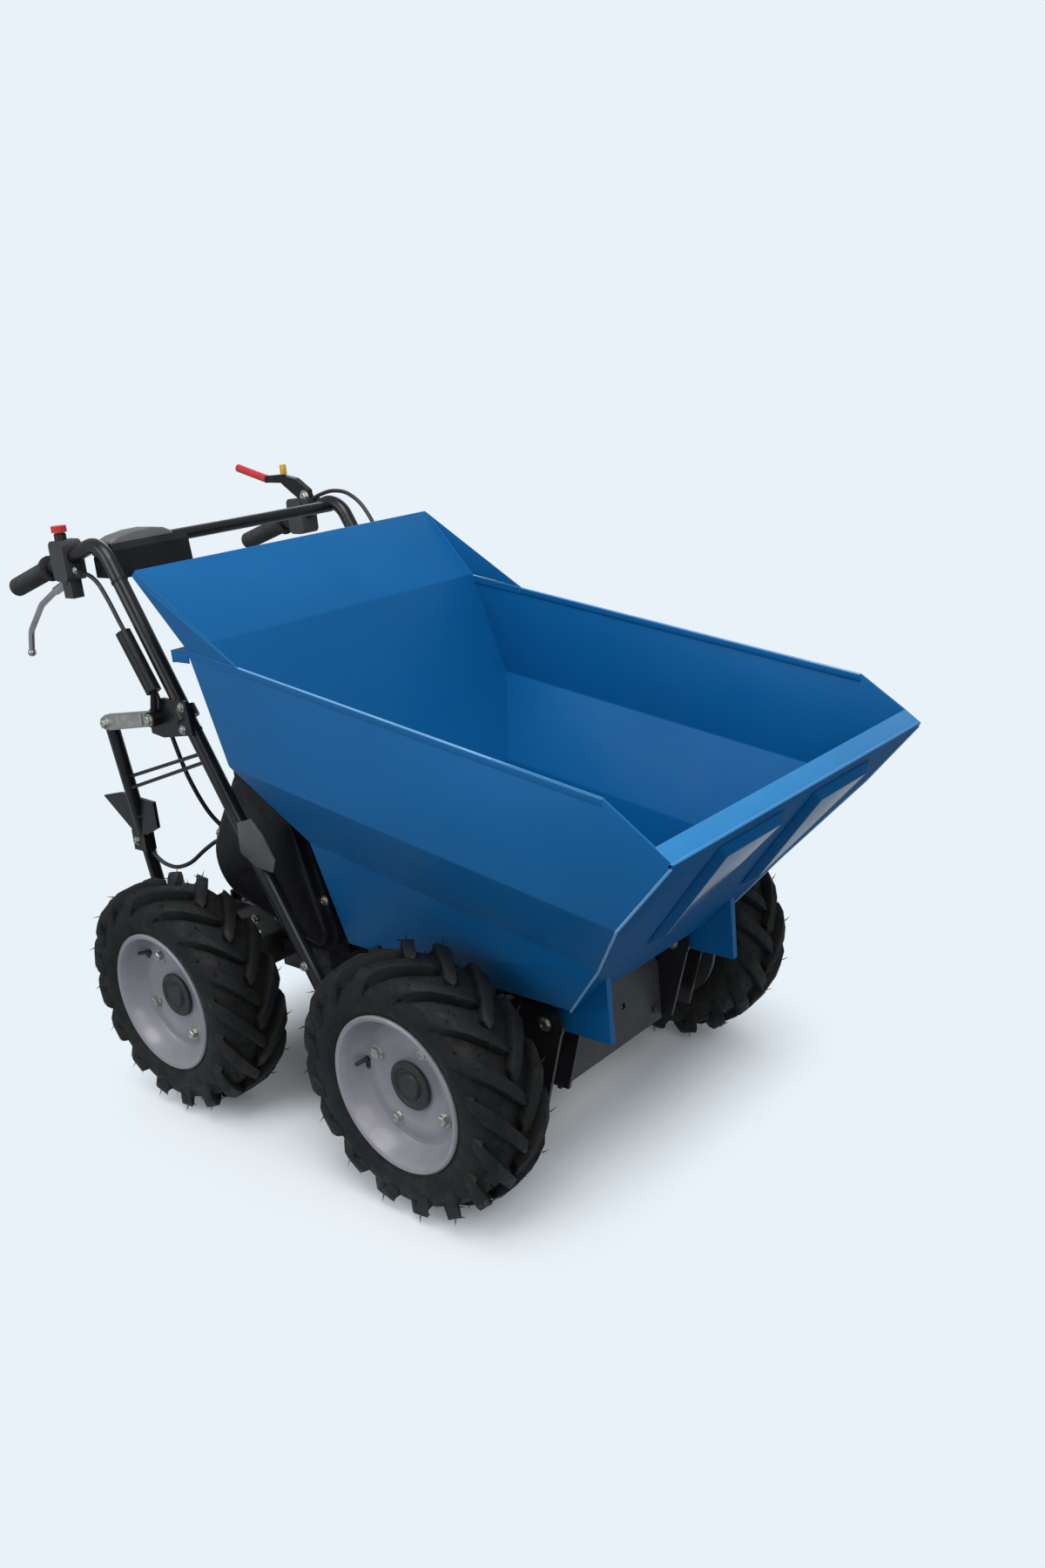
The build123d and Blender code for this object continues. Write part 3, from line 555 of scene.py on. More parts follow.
tyre = {
    "middle": 0.302, "lugCount": 16, "segments": 96, "shoulder": 0.140,
    "turn": 0.2465,                                   # brings the lugs onto the construction's own
    "carcass": [(0.1077, -0.050), (0.1165, -0.0515), (0.1235, -0.0555), (0.136, -0.0590), (0.150, -0.0580),
                (0.162, -0.0520), (0.1695, -0.0380), (0.1730, -0.0190), (0.1740, 0.0)],
    "lugStations": [  # distance from the middle, turn in degrees, top radius, top distance, half width
        (-0.004, -1.0, 0.1860, -0.006, 0.0085), (0.004, 1.5, 0.1897, 0.003, 0.0120),
        (0.020, 8.0, 0.1893, 0.020, 0.0130), (0.036, 15.0, 0.1872, 0.039, 0.0140),
        (0.0465, 20.0, 0.1825, 0.0515, 0.0150), (0.0535, 23.5, 0.1740, 0.0580, 0.0150),
        (0.0580, 26.0, 0.1630, 0.0605, 0.0140), (0.0580, 28.0, 0.1520, 0.0608, 0.0120),
        (0.0575, 29.0, 0.1445, 0.0590, 0.0090)],
    "lugRadius": 0.185, "lugEdge": (0.0022, 2, 25), "rootDepth": 0.004, "rootSpread": 1.25,
    "wallRadius": 0.165, "wallDepth": 0.002, "wallInset": 0.006,
    "hairRadius": 0.0012, "hairScale": 1.4,
    "hairs": [  # radius, distance, turn in degrees, lean out, along and round, length
        (0.1835, 0.0500, 19.5, (0.45, 0.75, 0.5), 0.009), (0.1860, 0.0380, 19.0, (0.10, 0.10, 1.0), 0.008),
        (0.1700, 0.0550, 27.0, (0.30, 0.50, 0.8), 0.007), (0.1870, 0.0180, 4.0, (0.05, 0.0, -1.0), 0.007),
        (0.1620, 0.0560, 21.0, (0.50, 0.30, -0.8), 0.007), (0.1860, 0.0100, 8.5, (0.10, -0.2, 1.0), 0.007),
        (0.1705, 0.0300, 1.0, (1.00, 0.20, 0.3), 0.009), (0.1520, 0.0575, 24.0, (0.60, 0.20, -0.7), 0.006)]}
toAxle = Matrix.Rotation(-pi / 2, 4, "X")             # turns the local Z into the axle's direction


def carcassRadius(distance):
    spots = sorted((abs(along), radius) for radius, along in tyre["carcass"] if radius > tyre["shoulder"])
    for (nearAlong, nearRadius), (farAlong, farRadius) in zip(spots, spots[1:]):
        if nearAlong <= distance <= farAlong:
            share = (distance - nearAlong) / (farAlong - nearAlong)
            return nearRadius + share * (farRadius - nearRadius)
    return spots[-1][1]


def makeLug(flip):
    points = []
    faces = []
    for base, turn, topRadius, topAlong, half in tyre["lugStations"]:
        root = (carcassRadius(abs(base)) - tyre["rootDepth"], base, half * tyre["rootSpread"])
        for radius, along, width in (root, (topRadius, topAlong, half)):
            if topRadius < tyre["wallRadius"] and radius < topRadius:
                radius = topRadius - tyre["wallDepth"]    # on the sidewall the root stays level with the top
                along = base - tyre["wallInset"]
            for edge in (-1, 1):
                angle = radians(turn) + edge * width / tyre["lugRadius"]
                points.append((radius * cos(angle), flip * along, radius * sin(angle)))
    last = 4 * (len(tyre["lugStations"]) - 1)
    for a in range(0, last, 4):
        b = a + 4
        faces += [(a, a + 1, b + 1, b), (a + 2, b + 2, b + 3, a + 3), (a, b, b + 2, a + 2),
                  (a + 1, a + 3, b + 3, b + 1)]
    faces += [(0, 2, 3, 1), (last, last + 1, last + 3, last + 2)]
    return settle(bevel(outwards(newPiece("lug", points, faces)), *tyre["lugEdge"]))


def makeHairs(flip):
    # moulding hairs left on one lug, each a thin spike on three corners
    points = []
    faces = []
    for radius, along, turn, lean, length in tyre["hairs"]:
        angle = radians(turn)
        outward = Vector((cos(angle), 0, sin(angle)))
        sideways = Vector((0, flip, 0))
        around = Vector((-sin(angle), 0, cos(angle)))
        way = (outward * lean[0] + sideways * lean[1] + around * lean[2]).normalized()
        base = outward * radius + sideways * along
        corner = way.orthogonal().normalized() * tyre["hairRadius"]
        first = len(points)
        points += [base + Matrix.Rotation(2 * pi * k / 3, 3, way) @ corner for k in range(3)]
        points.append(base + way * length * tyre["hairScale"])
        faces += [tuple(first + k for k in face) for face in ((0, 2, 1), (0, 1, 3), (1, 2, 3), (2, 0, 3))]
    return outwards(newPiece("hairs", points, faces))


def makeTyre():
    whole = tyre["carcass"] + [(radius, -along) for radius, along in reversed(tyre["carcass"][:-1])]
    parts = [settle(lathe("carcass", whole, tyre["segments"], toAxle))]
    pitch = 2 * pi / tyre["lugCount"]
    for flip, start in ((1, 0.0), (-1, pitch / 2)):
        for part in (makeLug(flip), makeHairs(flip)):
            parts.append(repeat(part, ring, Count=tyre["lugCount"], Axis=(0, 1, 0), Start=start,
                                Finish=tyreRubber))
    return joined("tyreMaster", parts)


# rims and hubs, with bolts, valve slots and black back plates that put painted shade inside the rims

wheel = {
    "rimProfile": [  # radius, distance outwards from the tyre's middle
        (0.0300, 0.0155), (0.0300, 0.0190), (0.0560, 0.0192), (0.0600, 0.0215), (0.0760, 0.0215),
        (0.0800, 0.0200), (0.0880, 0.0210), (0.0960, 0.0290), (0.1020, 0.0430), (0.1045, 0.0500),
        (0.1075, 0.0545), (0.1125, 0.0560), (0.1150, 0.0540), (0.1150, 0.0505), (0.1110, 0.0500),
        (0.1080, 0.0480), (0.1075, -0.0480), (0.1110, -0.0500), (0.1150, -0.0505), (0.1150, -0.0540),
        (0.1125, -0.0560), (0.1060, -0.0540), (0.1040, -0.0480), (0.1040, 0.0420), (0.0950, 0.0250),
        (0.0870, 0.0180), (0.0780, 0.0165), (0.0600, 0.0180), (0.0560, 0.0155), (0.0300, 0.0155)],
    "capProfile": [
        (0.0, -0.0810), (0.0148, -0.0810), (0.0148, -0.0060), (0.0440, -0.0020), (0.0445, 0.0140),
        (0.0300, 0.0148), (0.0300, 0.0205), (0.0350, 0.0205), (0.0360, 0.0215), (0.0360, 0.0240),
        (0.0345, 0.0255), (0.0270, 0.0262), (0.0255, 0.0245), (0.0200, 0.0240), (0.0185, 0.0270),
        (0.0170, 0.0285), (0.0, 0.0288)],
    "backProfile": [
        (0.0150, -0.0562), (0.1150, -0.0562), (0.1155, -0.0570), (0.1140, -0.0590), (0.0900, -0.0590),
        (0.0860, -0.0575), (0.0500, -0.0575), (0.0460, -0.0590), (0.0150, -0.0590), (0.0150, -0.0562)],
    "boltCount": 4, "boltCircle": 0.068, "boltSeat": 0.0205, "boltStart": 30, "boltSize": (0.0080, 0.0090),
    "slotRadius": 0.0845, "slotSize": (0.006, 0.0045), "slotDepth": (0.0180, 0.0215), "slotEdge": (0.0004, 1),
    "slotSteps": 12, "slotTurn": -1.45,
    "valve": [(0, 0), (0.0032, 0), (0.0032, 0.016), (0.0022, 0.019), (0, 0.019)],
    "valveWay": (-0.3, 0.8, 0.4),
    "turns": {("front", "left"): 0.35, ("front", "right"): 0.0, ("rear", "left"): 0.9,
              ("rear", "right"): 0.62}}
bolt = {  # shares of the head's radius and of its height
    "washer": 1.35, "crown": 0.86, "dish": 0.5, "seat": 0.18, "edge": 0.9, "dishFloor": 0.92}


def makeBolt(radius, height):
    # a hexagon head on its washer, standing on the local XY plane
    washer, crown, dish = (radius * bolt[key] for key in ("washer", "crown", "dish"))
    seat, edge, floor = (height * bolt[key] for key in ("seat", "edge", "dishFloor"))
    disc = lathe("disc", [(0, 0), (washer, 0), (washer, seat), (0, seat)], 20)
    head = lathe("head", [(0, seat), (radius, seat), (radius, edge), (crown, height), (dish, height),
                          (dish, floor), (0, floor)], 6)
    return joined("bolt", [settle(disc), settle(head)])


def makeWheelBolts():
    head = makeBolt(*wheel["boltSize"])
    head.data.transform(Matrix.Translation((0, wheel["boltSeat"], wheel["boltCircle"])) @ toAxle)
    return repeat(head, ring, Count=wheel["boltCount"], Axis=(0, 1, 0), Start=radians(wheel["boltStart"]),
                  Finish=zinc)


def makeValveSlot():
    # the dark slot in the rim's dish with the valve in it
    count = wheel["slotSteps"]
    reach, half = wheel["slotSize"]
    outline = []
    for k in range(2 * count):
        turn = pi * (k + 0.5) / count
        middle = reach if cos(turn) > 0 else -reach
        outline.append((middle + half * cos(turn), wheel["slotRadius"] + half * sin(turn)))
    slot = platePiece("slot", outline, wheel["slotDepth"], wheel["slotEdge"])
    place = axisPlace((reach, wheel["slotDepth"][1], wheel["slotRadius"]), wheel["valveWay"])
    whole = joined("slotMaster", [slot, settle(lathe("valve", wheel["valve"], 12, place))])
    whole.data.transform(Matrix.Rotation(wheel["slotTurn"], 4, "Y"))
    return whole


def makeTurned(name, segments):
    return settle(lathe(f"{name}Master", wheel[f"{name}Profile"], segments, toAxle), angle=28)


def placeWheelPiece(master, name, end, s, turn):
    mesh = master.data.copy()
    middle = Matrix.Translation((axles[end], s * tyre["middle"], axleHeight))
    mesh.transform(middle @ Matrix.Diagonal((1, s, 1, 1)) @ Matrix.Rotation(turn, 4, "Y"))
    if s < 0:
        mesh.flip_normals()
    return smooth(addObject(name, mesh), angle=32)


wheelParts = [  # master, name, finish, slot and the node that the piece replaces
    (makeTyre(), "tyre", tyreRubber, "tyre_rubber", "tyre"),
    (makeTurned("rim", 96), "rim", rimEnamel, "rim_paint", "rim"),
    (makeTurned("cap", 48), "hub", hubPlastic, "hub_black", "hub"),
    (makeWheelBolts(), "wheelBolts", zinc, "lever_alloy", None),
    (makeValveSlot(), "valveSlot", hubPlastic, "hub_black", None),
    # a black disc inside each rim: painted shade where the rim's inner side lies in shadow
    (makeTurned("back", 64), "shadeDisc", blackPaint, "hub_black", None)]
for (end, side), turn in wheel["turns"].items():
    for master, name, finish, slot, node in wheelParts:
        partTurn = tyre["turn"] if name == "tyre" else turn
        piece = placeWheelPiece(master, f"{name}.{end}.{side}", end, sides[side], partTurn)
        nodes = [f"{node}_{end}_{side}"] if node else []
        dress(piece, finish, f"wheel_{end}_{side}", slot, *nodes)
for part in wheelParts:
    bpy.data.objects.remove(part[0])
print("wheels made")


# handles: ribbed grips, cable ties, and latch, plates and bolts on the controls and the gear shift

tube = {
    "half": 0.245, "crown": (-0.401, 0.900), "way": (0.4977, -0.8673),
    "ties": {"left": (0.232, 0.460, 0.640), "right": (0.07, 0.33)},   # distances down the tube
    "tie": [(0.0121, -0.002), (0.0131, -0.002), (0.0131, 0.002), (0.0121, 0.002), (0.0121, -0.002)]}
grip = {
    "front": (-0.5566, 0.8537), "way": (-0.95838, -0.28537), "ribs": 17, "step": 0.0063, "start": 0.0110,
    "collar": [(0.0, 0.0), (0.0203, 0.0), (0.0209, 0.0008), (0.0209, 0.0050), (0.0203, 0.0058),
               (0.0158, 0.0080)],
    "rib": [(0.0146, 0.0), (0.0159, 0.0010), (0.0159, 0.0042), (0.0146, 0.0052)],
    "end": [(0.0158, 0.1190), (0.0158, 0.1230), (0.0148, 0.1246), (0.0, 0.1250)]}
controls = {
    "latch": ((-0.5445, 0.2405, 0.9425), (-0.5345, 0.2495, 0.9610)), "latchEdge": (0.0015, 2),
    "switchBase": [(0.0, -0.012), (0.0095, -0.012), (0.0095, 0.0085), (0.0085, 0.0105), (0.0, 0.0105)],
    "switchPlace": (-0.512, -0.245, 0.9),
    "cap": [(-0.226, 0.8860), (-0.226, 0.8960), (-0.210, 0.9020), (-0.180, 0.9065), (-0.150, 0.9070),
            (-0.125, 0.9035), (-0.108, 0.8950), (-0.108, 0.8860)], "capDepth": (0.4025, 0.4430),
    "capEdge": (0.0040, 3),
    "armPlate": [(-0.330, 0.6385), (-0.434, 0.6245), (-0.449, 0.6170), (-0.449, 0.6050), (-0.436, 0.6015),
                 (-0.330, 0.6195)], "armDepth": (-0.2735, -0.2722), "armEdge": (0.0005, 1),
    "bolts": [  # place, direction, radius, height
        ((-0.482, 0.2510, 0.903), (0, 1, 0), 0.0060, 0.0050),
        ((-0.482, 0.2390, 0.903), (0, -1, 0), 0.0085, 0.0060),
        ((-0.306, -0.2750, 0.632), (0, -1, 0), 0.0070, 0.0055),
        ((-0.436, -0.2735, 0.612), (0, -1, 0), 0.0075, 0.0060),
        ((-0.2450, -0.2590, 0.6180), (0, -1, 0), 0.0055, 0.0045),
        ((-0.2400, -0.2590, 0.6540), (0, -1, 0), 0.0055, 0.0045),
        ((-0.4740, -0.2340, 0.3920), (0, -1, 0), 0.0055, 0.0045),
        ((-0.4530, -0.2340, 0.4400), (0, -1, 0), 0.0050, 0.0040),
        ((-0.4560, -0.2630, 0.8560), (0, -1, 0), 0.0040, 0.0030)]}


def gripProfile():
    profile = list(grip["collar"])
    for k in range(grip["ribs"]):
        start = grip["start"] + k * grip["step"]
        profile += [(radius, start + along) for radius, along in grip["rib"]]
    return profile + grip["end"]


def addBolts(name, bolts, finish=zinc, slot="lever_alloy"):
    # bolts are (place, direction, radius, height)
    heads = []
    for place, direction, radius, height in bolts:
        head = makeBolt(radius, height)
        head.data.transform(axisPlace(place, direction))
        heads.append(head)
    dress(joined(name, heads), finish, "chassis", slot)


for side, s in sides.items():
    (x, z), (wayX, wayZ) = grip["front"], grip["way"]
    place = axisPlace((x, s * tube["half"], z), (wayX, 0, wayZ))
    piece = settle(lathe(f"grip.{side}", gripProfile(), 32, place), angle=30)
    dress(piece, gripRubber, "chassis", "grip_rubber", f"grip_{side}")
for side, spots in tube["ties"].items():
    (x, z), (wayX, wayZ) = tube["crown"], tube["way"]
    ties = []
    for spot in spots:
        place = axisPlace((x + wayX * spot, sides[side] * tube["half"], z + wayZ * spot), (wayX, 0, wayZ))
        ties.append(settle(lathe("tie", tube["tie"], 24, place)))
    dress(joined(f"tubeBands.{side}", ties), blackPlastic, "chassis", "black_plastic")
latch = boxPiece("latch", *controls["latch"], controls["latchEdge"])
dress(latch, yellowPlastic, "chassis", "red_plastic")
switchBase = lathe("switchBase", controls["switchBase"], 24, Matrix.Translation(controls["switchPlace"]))
dress(settle(switchBase), blackPlastic, "chassis", "black_plastic")
consoleCap = platePiece("consoleCap", controls["cap"], controls["capDepth"], controls["capEdge"])
consoleCap.data.transform(Matrix.Rotation(pi / 2, 4, "Z"))    # drawn along the machine, turned to lie across
dress(consoleCap, capPlastic, "chassis", "black_plastic")
armPlate = platePiece("armPlate", controls["armPlate"], controls["armDepth"], controls["armEdge"])
dress(armPlate, zinc, "chassis", "lever_alloy")
addBolts("controlBolts", controls["bolts"])
print("handles fitted")


# belt cover, pivot and plates: the guard on the tube and the bolts

cover = {
    "guard": [(-0.147, 0.484), (-0.111, 0.496), (-0.088, 0.473), (-0.068, 0.436), (-0.078, 0.4155),
              (-0.116, 0.418), (-0.150, 0.436)], "guardDepth": (-0.2568, -0.2598), "guardEdge": (0.0010, 2),
    "edgeBolts": [(-0.2952, 0.4198), (-0.298, 0.3556), (-0.2012, 0.5338), (-0.0919, 0.4828), (-0.0532, 0.35),
                  (-0.1315, 0.2869), (-0.175, 0.297)], "edgeFace": -0.1899, "edgeBolt": (0.0062, 0.0045),
    "footBolts": [((-0.392, -0.1255, 0.240), (0, -1, 0), 0.0062, 0.0045),
                  ((-0.040, -0.2565, 0.271), (0, -1, 0), 0.0062, 0.0050)],
    "angleBolts": [(-0.140, -0.1440, 0.300), (-0.080, -0.1440, 0.300)], "angleBolt": (0.0055, 0.0045)}
rail = {"face": 0.1250, "level": 0.236, "spots": (-0.330, -0.175, 0.140, 0.300), "bolt": (0.0060, 0.0050)}
pivot = {
    "pin": (0.365, 0.250), "pinEnds": ((0.1810, 1), (0.1210, -1)), "pinBolt": (0.0085, 0.0040),
    "yokeInset": 0.0040, "yokeBolts": ((0.289, 0.2650, 0.0078, 0.0120), (0.306, 0.2450, 0.0048, 0.0040))}
plate = {
    "face": 0.333, "bolt": (0.0060, 0.0050),
    "spots": ((0.085, 0.236), (-0.085, 0.236), (0.108, 0.135), (-0.108, 0.135))}

guard = platePiece("coverGuard", cover["guard"], cover["guardDepth"], cover["guardEdge"])
dress(guard, greyPlastic, "chassis", "black_plastic")
addBolts("coverBolts",
         [((x, cover["edgeFace"], z), (0, -1, 0), *cover["edgeBolt"]) for x, z in cover["edgeBolts"]]
         + cover["footBolts"] + [(spot, (0, 1, 0), *cover["angleBolt"]) for spot in cover["angleBolts"]]
         + [((x, s * rail["face"], rail["level"]), (0, s, 0), *rail["bolt"]) for x in rail["spots"]
            for s in (1, -1)])
pinX, pinZ = pivot["pin"]
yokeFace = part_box("pivot_yoke_left")[1].y - pivot["yokeInset"]
addBolts("pivotBolts",
         [((pinX, s * y, pinZ), (0, s * way, 0), *pivot["pinBolt"]) for s in (1, -1)
          for y, way in pivot["pinEnds"]]
         + [((x, s * yokeFace, z), (0, s, 0), radius, height) for s in (1, -1)
            for x, z, radius, height in pivot["yokeBolts"]])
addBolts("plateBolts", [((plate["face"], y, z), (1, 0, 0), *plate["bolt"]) for y, z in plate["spots"]],
         castIron, "chassis_paint")
print("covers fitted")


# engine: plug and its lead, louvres, guard, handle, caps and bolts

engine = {
    "boot": [(0.0, 0.0), (0.0075, 0.0), (0.0075, 0.008), (0.0110, 0.010), (0.0105, 0.030), (0.0075, 0.036),
             (0.0, 0.036)],
    "cap": [(0.0, 0.0), (0.0290, 0.0), (0.0300, 0.002), (0.0300, 0.011), (0.0280, 0.014), (0.0180, 0.0155),
            (0.0, 0.0155)],
    "knob": [(0.0, 0.0), (0.0060, 0.0), (0.0060, 0.004), (0.0120, 0.005), (0.0130, 0.011), (0.0110, 0.014),
             (0.0, 0.014)],
    "pull": [(0.0, 0.0), (0.0060, 0.0), (0.0085, 0.004), (0.0085, 0.052), (0.0060, 0.058), (0.0, 0.058)],
    "outlet": [(0.0070, 0.0), (0.0090, 0.0), (0.0090, 0.016), (0.0070, 0.016), (0.0070, 0.0)],
    "places": {  # place and direction of each turned piece
        "plugBoot": ((-0.3995, 0.030, 0.365), (-1, 0, 0)), "fuelCap": ((-0.225, 0.030, 0.4960), (0, 0, 1)),
        "filterKnob": ((-0.361, -0.029, 0.4965), (0, 0, 1)), "oilCap": ((-0.288, 0.1048, 0.292), (0, 1, 0)),
        "pullHandle": ((-0.205, 0.138, 0.462), (1, 0, 0.15)),
        "exhaustOutlet": ((-0.3975, 0.072, 0.447), (-1, 0, 0))},
    "lead": [(-0.430, 0.030, 0.365), (-0.446, 0.040, 0.372), (-0.440, 0.090, 0.392), (-0.400, 0.106, 0.398),
             (-0.350, 0.098, 0.380), (-0.322, 0.080, 0.372)], "leadRadius": 0.0032,
    "cord": [(-0.252, 0.138, 0.445), (-0.232, 0.138, 0.458), (-0.204, 0.138, 0.462)], "cordRadius": 0.0018,
    "louvre": ((0.030, -0.0006, -0.0022), (0.058, 0.0008, 0.0022)), "louvreEdge": (0.0005, 1),
    "louvreCount": 14, "louvreMiddle": (-0.225, 0.1622, 0.368),
    "rows": {  # low and high corner of the first one, its edges, count, step
        "guardBars": ((-0.392, 0.034, 0.4815), (-0.330, 0.040, 0.4835), (0.0006, 1), 7, (0, 0.0115, 0)),
        "filterVents": ((-0.399, -0.066, 0.430), (-0.3975, -0.060, 0.470), (0.0004, 1), 7, (0, 0.0125, 0))},
    "deckSpots": (-0.365, -0.105), "deckHalf": 0.112, "deckTop": 0.2620, "deckBolt": (0.0060, 0.0050),
    "starterMiddle": (-0.225, 0.1495, 0.368), "starterCircle": 0.076, "starterTurn": 0.8,
    "starterBolt": (0.0045, 0.0040)}


def turnedPiece(name, profile, finish, slot, segments=28):
    piece = settle(lathe(name, engine[profile], segments, axisPlace(*engine["places"][name])))
    dress(piece, finish, "chassis", slot)


def addRow(name, finish, slot):
    low, high, edge, count, step = engine["rows"][name]
    bars = repeat(boxPiece(name, low, high, edge), row, Count=count, Step=step, Finish=finish)
    dress(bars, finish, "chassis", slot)


def starterSpot(k):
    x, y, z = engine["starterMiddle"]
    turn = k * pi / 2 + engine["starterTurn"]
    return (x + engine["starterCircle"] * cos(turn), y, z + engine["starterCircle"] * sin(turn))


turnedPiece("plugBoot", "boot", blackPlastic, "black_plastic")
dress(rope("plugLead", engine["lead"], engine["leadRadius"], 6), cableSheath, "chassis", "black_plastic")
turnedPiece("fuelCap", "cap", blackPlastic, "black_plastic", 36)
turnedPiece("filterKnob", "knob", blackPlastic, "black_plastic")
turnedPiece("oilCap", "knob", yellowPlastic, "red_plastic")
turnedPiece("pullHandle", "pull", blackPlastic, "black_plastic")
turnedPiece("exhaustOutlet", "outlet", heatSteel, "silencer_steel")
dress(rope("pullCord", engine["cord"], engine["cordRadius"], 4), cableSheath, "chassis", "black_plastic")
louvres = repeat(boxPiece("starterLouvres", *engine["louvre"], engine["louvreEdge"]), ring,
                 Count=engine["louvreCount"], Axis=(0, 1, 0), Start=0.0, Finish=hubPlastic)
louvres.data.transform(Matrix.Translation(engine["louvreMiddle"]))
dress(louvres, hubPlastic, "chassis", "hub_black")
addRow("guardBars", heatSteel, "silencer_steel")
addRow("filterVents", hubPlastic, "hub_black")
addBolts("engineBolts",
         [((x, s * engine["deckHalf"], engine["deckTop"]), (0, 0, 1), *engine["deckBolt"])
          for x in engine["deckSpots"] for s in (1, -1)]
         + [(starterSpot(k), (0, 1, 0), *engine["starterBolt"]) for k in range(4)])
print("engine fitted")


# finishes of the pieces that keep the construction's own shape

slotFinish = {
    "bucket_paint": bluePaint, "chassis_paint": blackPaint, "black_plastic": blackPlastic,
    "engine_casting": engineAlloy, "tank_paint": blackPaint, "silencer_steel": heatSteel,
    "grip_rubber": gripRubber, "lever_alloy": alloy, "red_plastic": redDip, "tyre_rubber": tyreRubber,
    "rim_paint": rimEnamel, "hub_black": hubPlastic}
nodeFinish = {
    "front_plate": platePaint, "lever_perch_left": platePaint, "lever_perch_right": platePaint,
    "axle_housing_front": castIron, "axle_housing_rear": castIron, "cables_right": cableSheath,
    "cable_left": cableSheath}
for entry in frame["record"]["subparts"]:
    node = frame["nodes"][entry["node"]]
    node.data.materials.clear()
    node.data.materials.append(nodeFinish.get(entry["node"], slotFinish[entry["material_slot"]]))


# camera, floor and lights

view = {
    "place": (1.4675, -1.3941, 1.1093), "right": (0.75653, 0.64752, -0.09157),
    "up": (-0.13023, 0.28640, 0.94922), "back": (0.64086, -0.70619, 0.30100), "lens": 30.95, "sensor": 36,
    "near": 0.02, "far": 100}
lens = bpy.data.cameras.new("camera")
lens.lens = view["lens"]
lens.sensor_width = view["sensor"]
lens.clip_start = view["near"]
lens.clip_end = view["far"]
camera = addObject("camera", lens)
columns = [view["right"], view["up"], view["back"]]
turn = Matrix([[column[k] for column in columns] for k in range(3)]).to_4x4()
camera.matrix_world = Matrix.Translation(view["place"]) @ turn
bpy.context.scene.camera = camera

studio = {
    "background": (0.815, 0.888, 0.947), "fill": 0.42,
    "floorRadius": 9.0, "floorSides": 64, "floorColour": (0.90, 0.93, 0.95), "floorRoughness": 0.45,
    "floorStrength": 0.95, "floorHalf": (0.27, 0.25, 0.0), "floorFade": (0.00, 0.28),
    # a painted shadow on the floor beneath the machine: its half sizes, middle, soft edge and colour
    "paintedShadowHalf": (0.27, 0.15, 0.0), "paintedShadowMiddle": (-0.15, 0.02, 0.0), "paintedShadowFade": (0.0, 0.15),
    "paintedShadowColour": (0.06, 0.062, 0.066),
    "lamps": [  # name, place, aim, size, power, colour
        ("overhead", (0.7, -0.9, 3.5), (0.1, 0.0, 0.3), 2.4, 68, (1.0, 1.0, 1.0)),
        ("frontSoft", (3.0, -1.3, 2.5), (0.2, 0.0, 0.3), 2.2, 34, (1.0, 0.99, 0.97)),
        ("sideSoft", (-1.4, -3.4, 2.0), (0.0, 0.0, 0.4), 2.4, 38, (0.97, 0.99, 1.0)),
        ("backSoft", (-2.4, 2.6, 2.2), (0.0, 0.0, 0.5), 2.0, 16, (0.97, 0.99, 1.0))]}


def makeWorld():
    # the pale backdrop is seen at full strength and lights the machine with less
    world = bpy.data.worlds.new("studio")
    bpy.context.scene.world = world
    world.use_nodes = True
    tree = world.node_tree
    shade = tree.nodes["Background"]
    shade.inputs["Color"].default_value = (*studio["background"], 1)
    rays = tree.nodes.new("ShaderNodeLightPath")
    strength = tree.nodes.new("ShaderNodeMapRange")
    strength.inputs["To Min"].default_value = studio["fill"]
    strength.inputs["To Max"].default_value = 1.0
    tree.links.new(rays.outputs["Is Camera Ray"], strength.inputs["Value"])
    tree.links.new(strength.outputs["Result"], shade.inputs["Strength"])


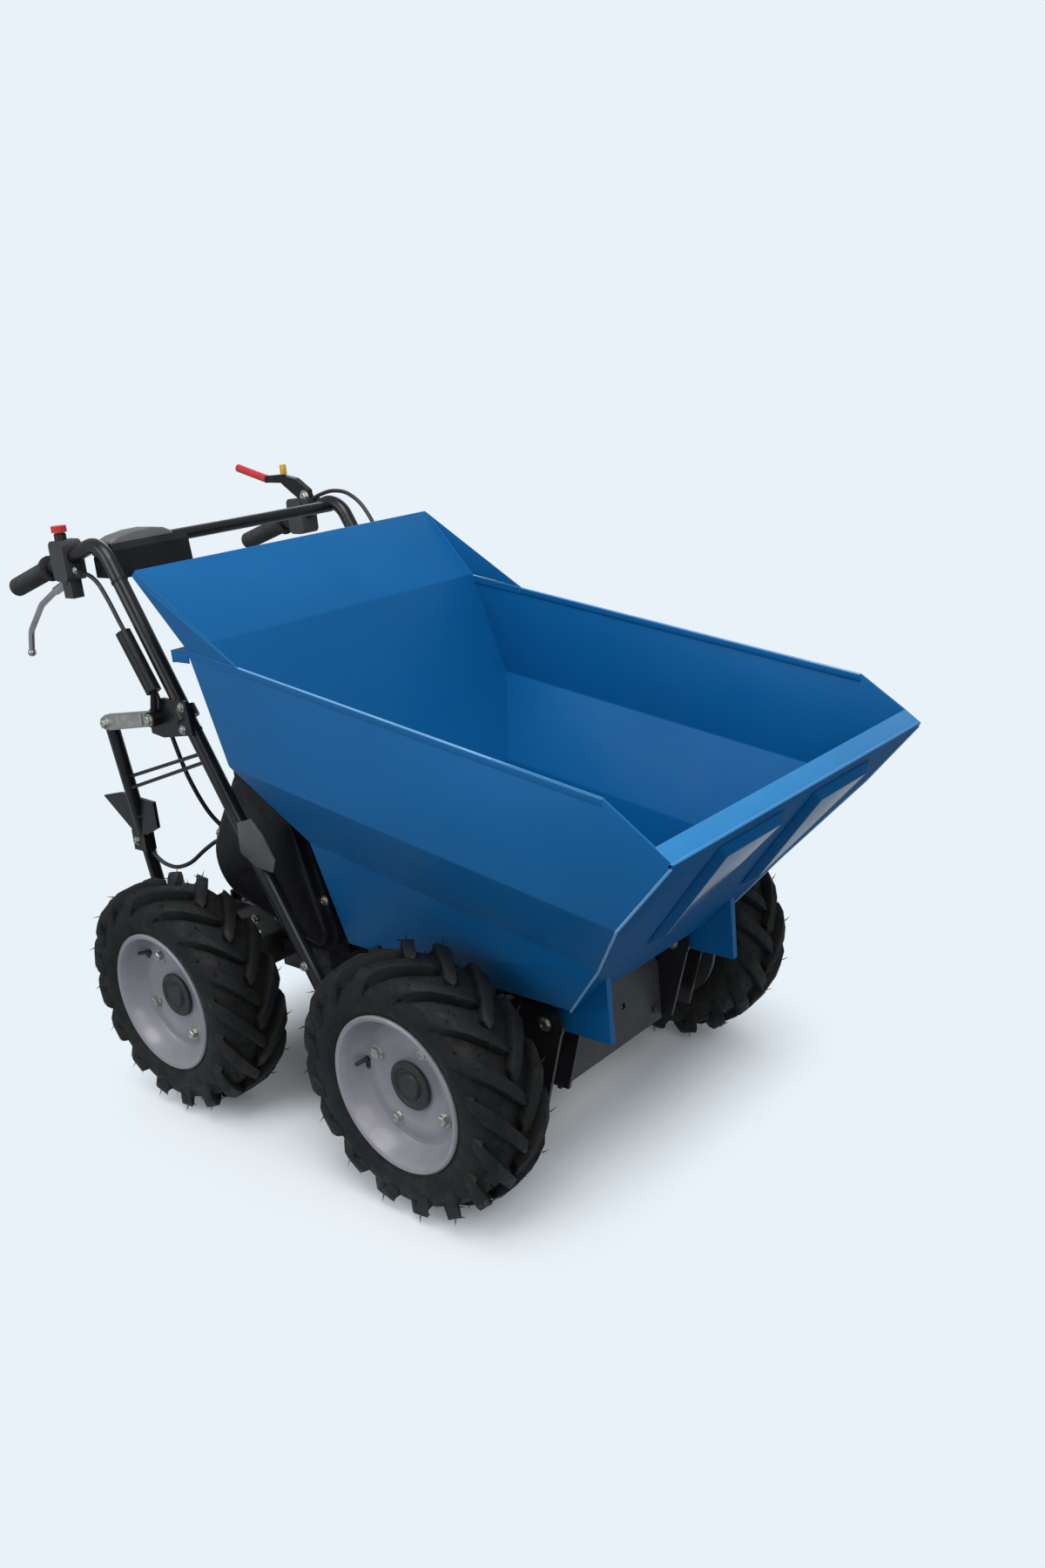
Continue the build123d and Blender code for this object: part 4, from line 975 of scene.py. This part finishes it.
def makeLamps():
    for name, place, aim, size, power, colour in studio["lamps"]:
        lamp = bpy.data.lights.new(name, "AREA")
        lamp.shape = "DISK"
        lamp.size = size
        lamp.energy = power
        lamp.color = colour
        aimed = (Vector(place) - Vector(aim)).to_track_quat("Z", "Y")
        addObject(name, lamp).matrix_world = Matrix.Translation(place) @ aimed.to_matrix().to_4x4()


def addReach(tree, place, half, centre=(0, 0, 0)):
    # the distance outwards from a rectangle on the floor
    reach = place.outputs["Object"]
    for operation, value in (("SUBTRACT", centre), ("ABSOLUTE", None), ("SUBTRACT", half),
                             ("MAXIMUM", (0, 0, 0))):
        step = tree.nodes.new("ShaderNodeVectorMath")
        step.operation = operation
        tree.links.new(reach, step.inputs[0])
        if value:
            step.inputs[1].default_value = value
        reach = step.outputs["Vector"]
    length = tree.nodes.new("ShaderNodeVectorMath")
    length.operation = "LENGTH"
    tree.links.new(reach, length.inputs[0])
    return length.outputs["Value"]


def addFade(tree, reach, low, high, ends):
    # from low to high between two distances, with soft ends
    fade = addRange(tree, reach, low, high, *ends)
    fade.node.interpolation_type = "SMOOTHSTEP"
    return fade


def makeFloor():
    # white by the wheels, with a painted shadow beneath the machine, melting into the backdrop round it
    material = bpy.data.materials.new("floorWhite")
    material.use_nodes = True
    tree = material.node_tree
    shader = tree.nodes["Principled BSDF"]
    shader.inputs["Roughness"].default_value = studio["floorRoughness"]
    place = tree.nodes.new("ShaderNodeTexCoord")
    around = addReach(tree, place, studio["floorHalf"])
    # painted shadow: the floor's colour goes dark beneath the machine
    under = addReach(tree, place, studio["paintedShadowHalf"], studio["paintedShadowMiddle"])
    shade = addFade(tree, under, 0.0, 1.0, studio["paintedShadowFade"])
    colour = addBlend(tree, shade, studio["paintedShadowColour"], studio["floorColour"])
    tree.links.new(colour, shader.inputs["Base Color"])
    fade = addFade(tree, around, studio["floorStrength"], 0.0, studio["floorFade"])
    tree.links.new(fade, shader.inputs["Alpha"])
    turns = [2 * pi * k / studio["floorSides"] for k in range(studio["floorSides"])]
    corners = [(studio["floorRadius"] * cos(turn), studio["floorRadius"] * sin(turn), 0.0) for turn in turns]
    floor = newPiece("floor", corners, [tuple(range(studio["floorSides"]))])
    floor.data.materials.append(material)


makeWorld()
makeLamps()
makeFloor()
bpy.context.scene.view_settings.view_transform = "Standard"
print("studio set")
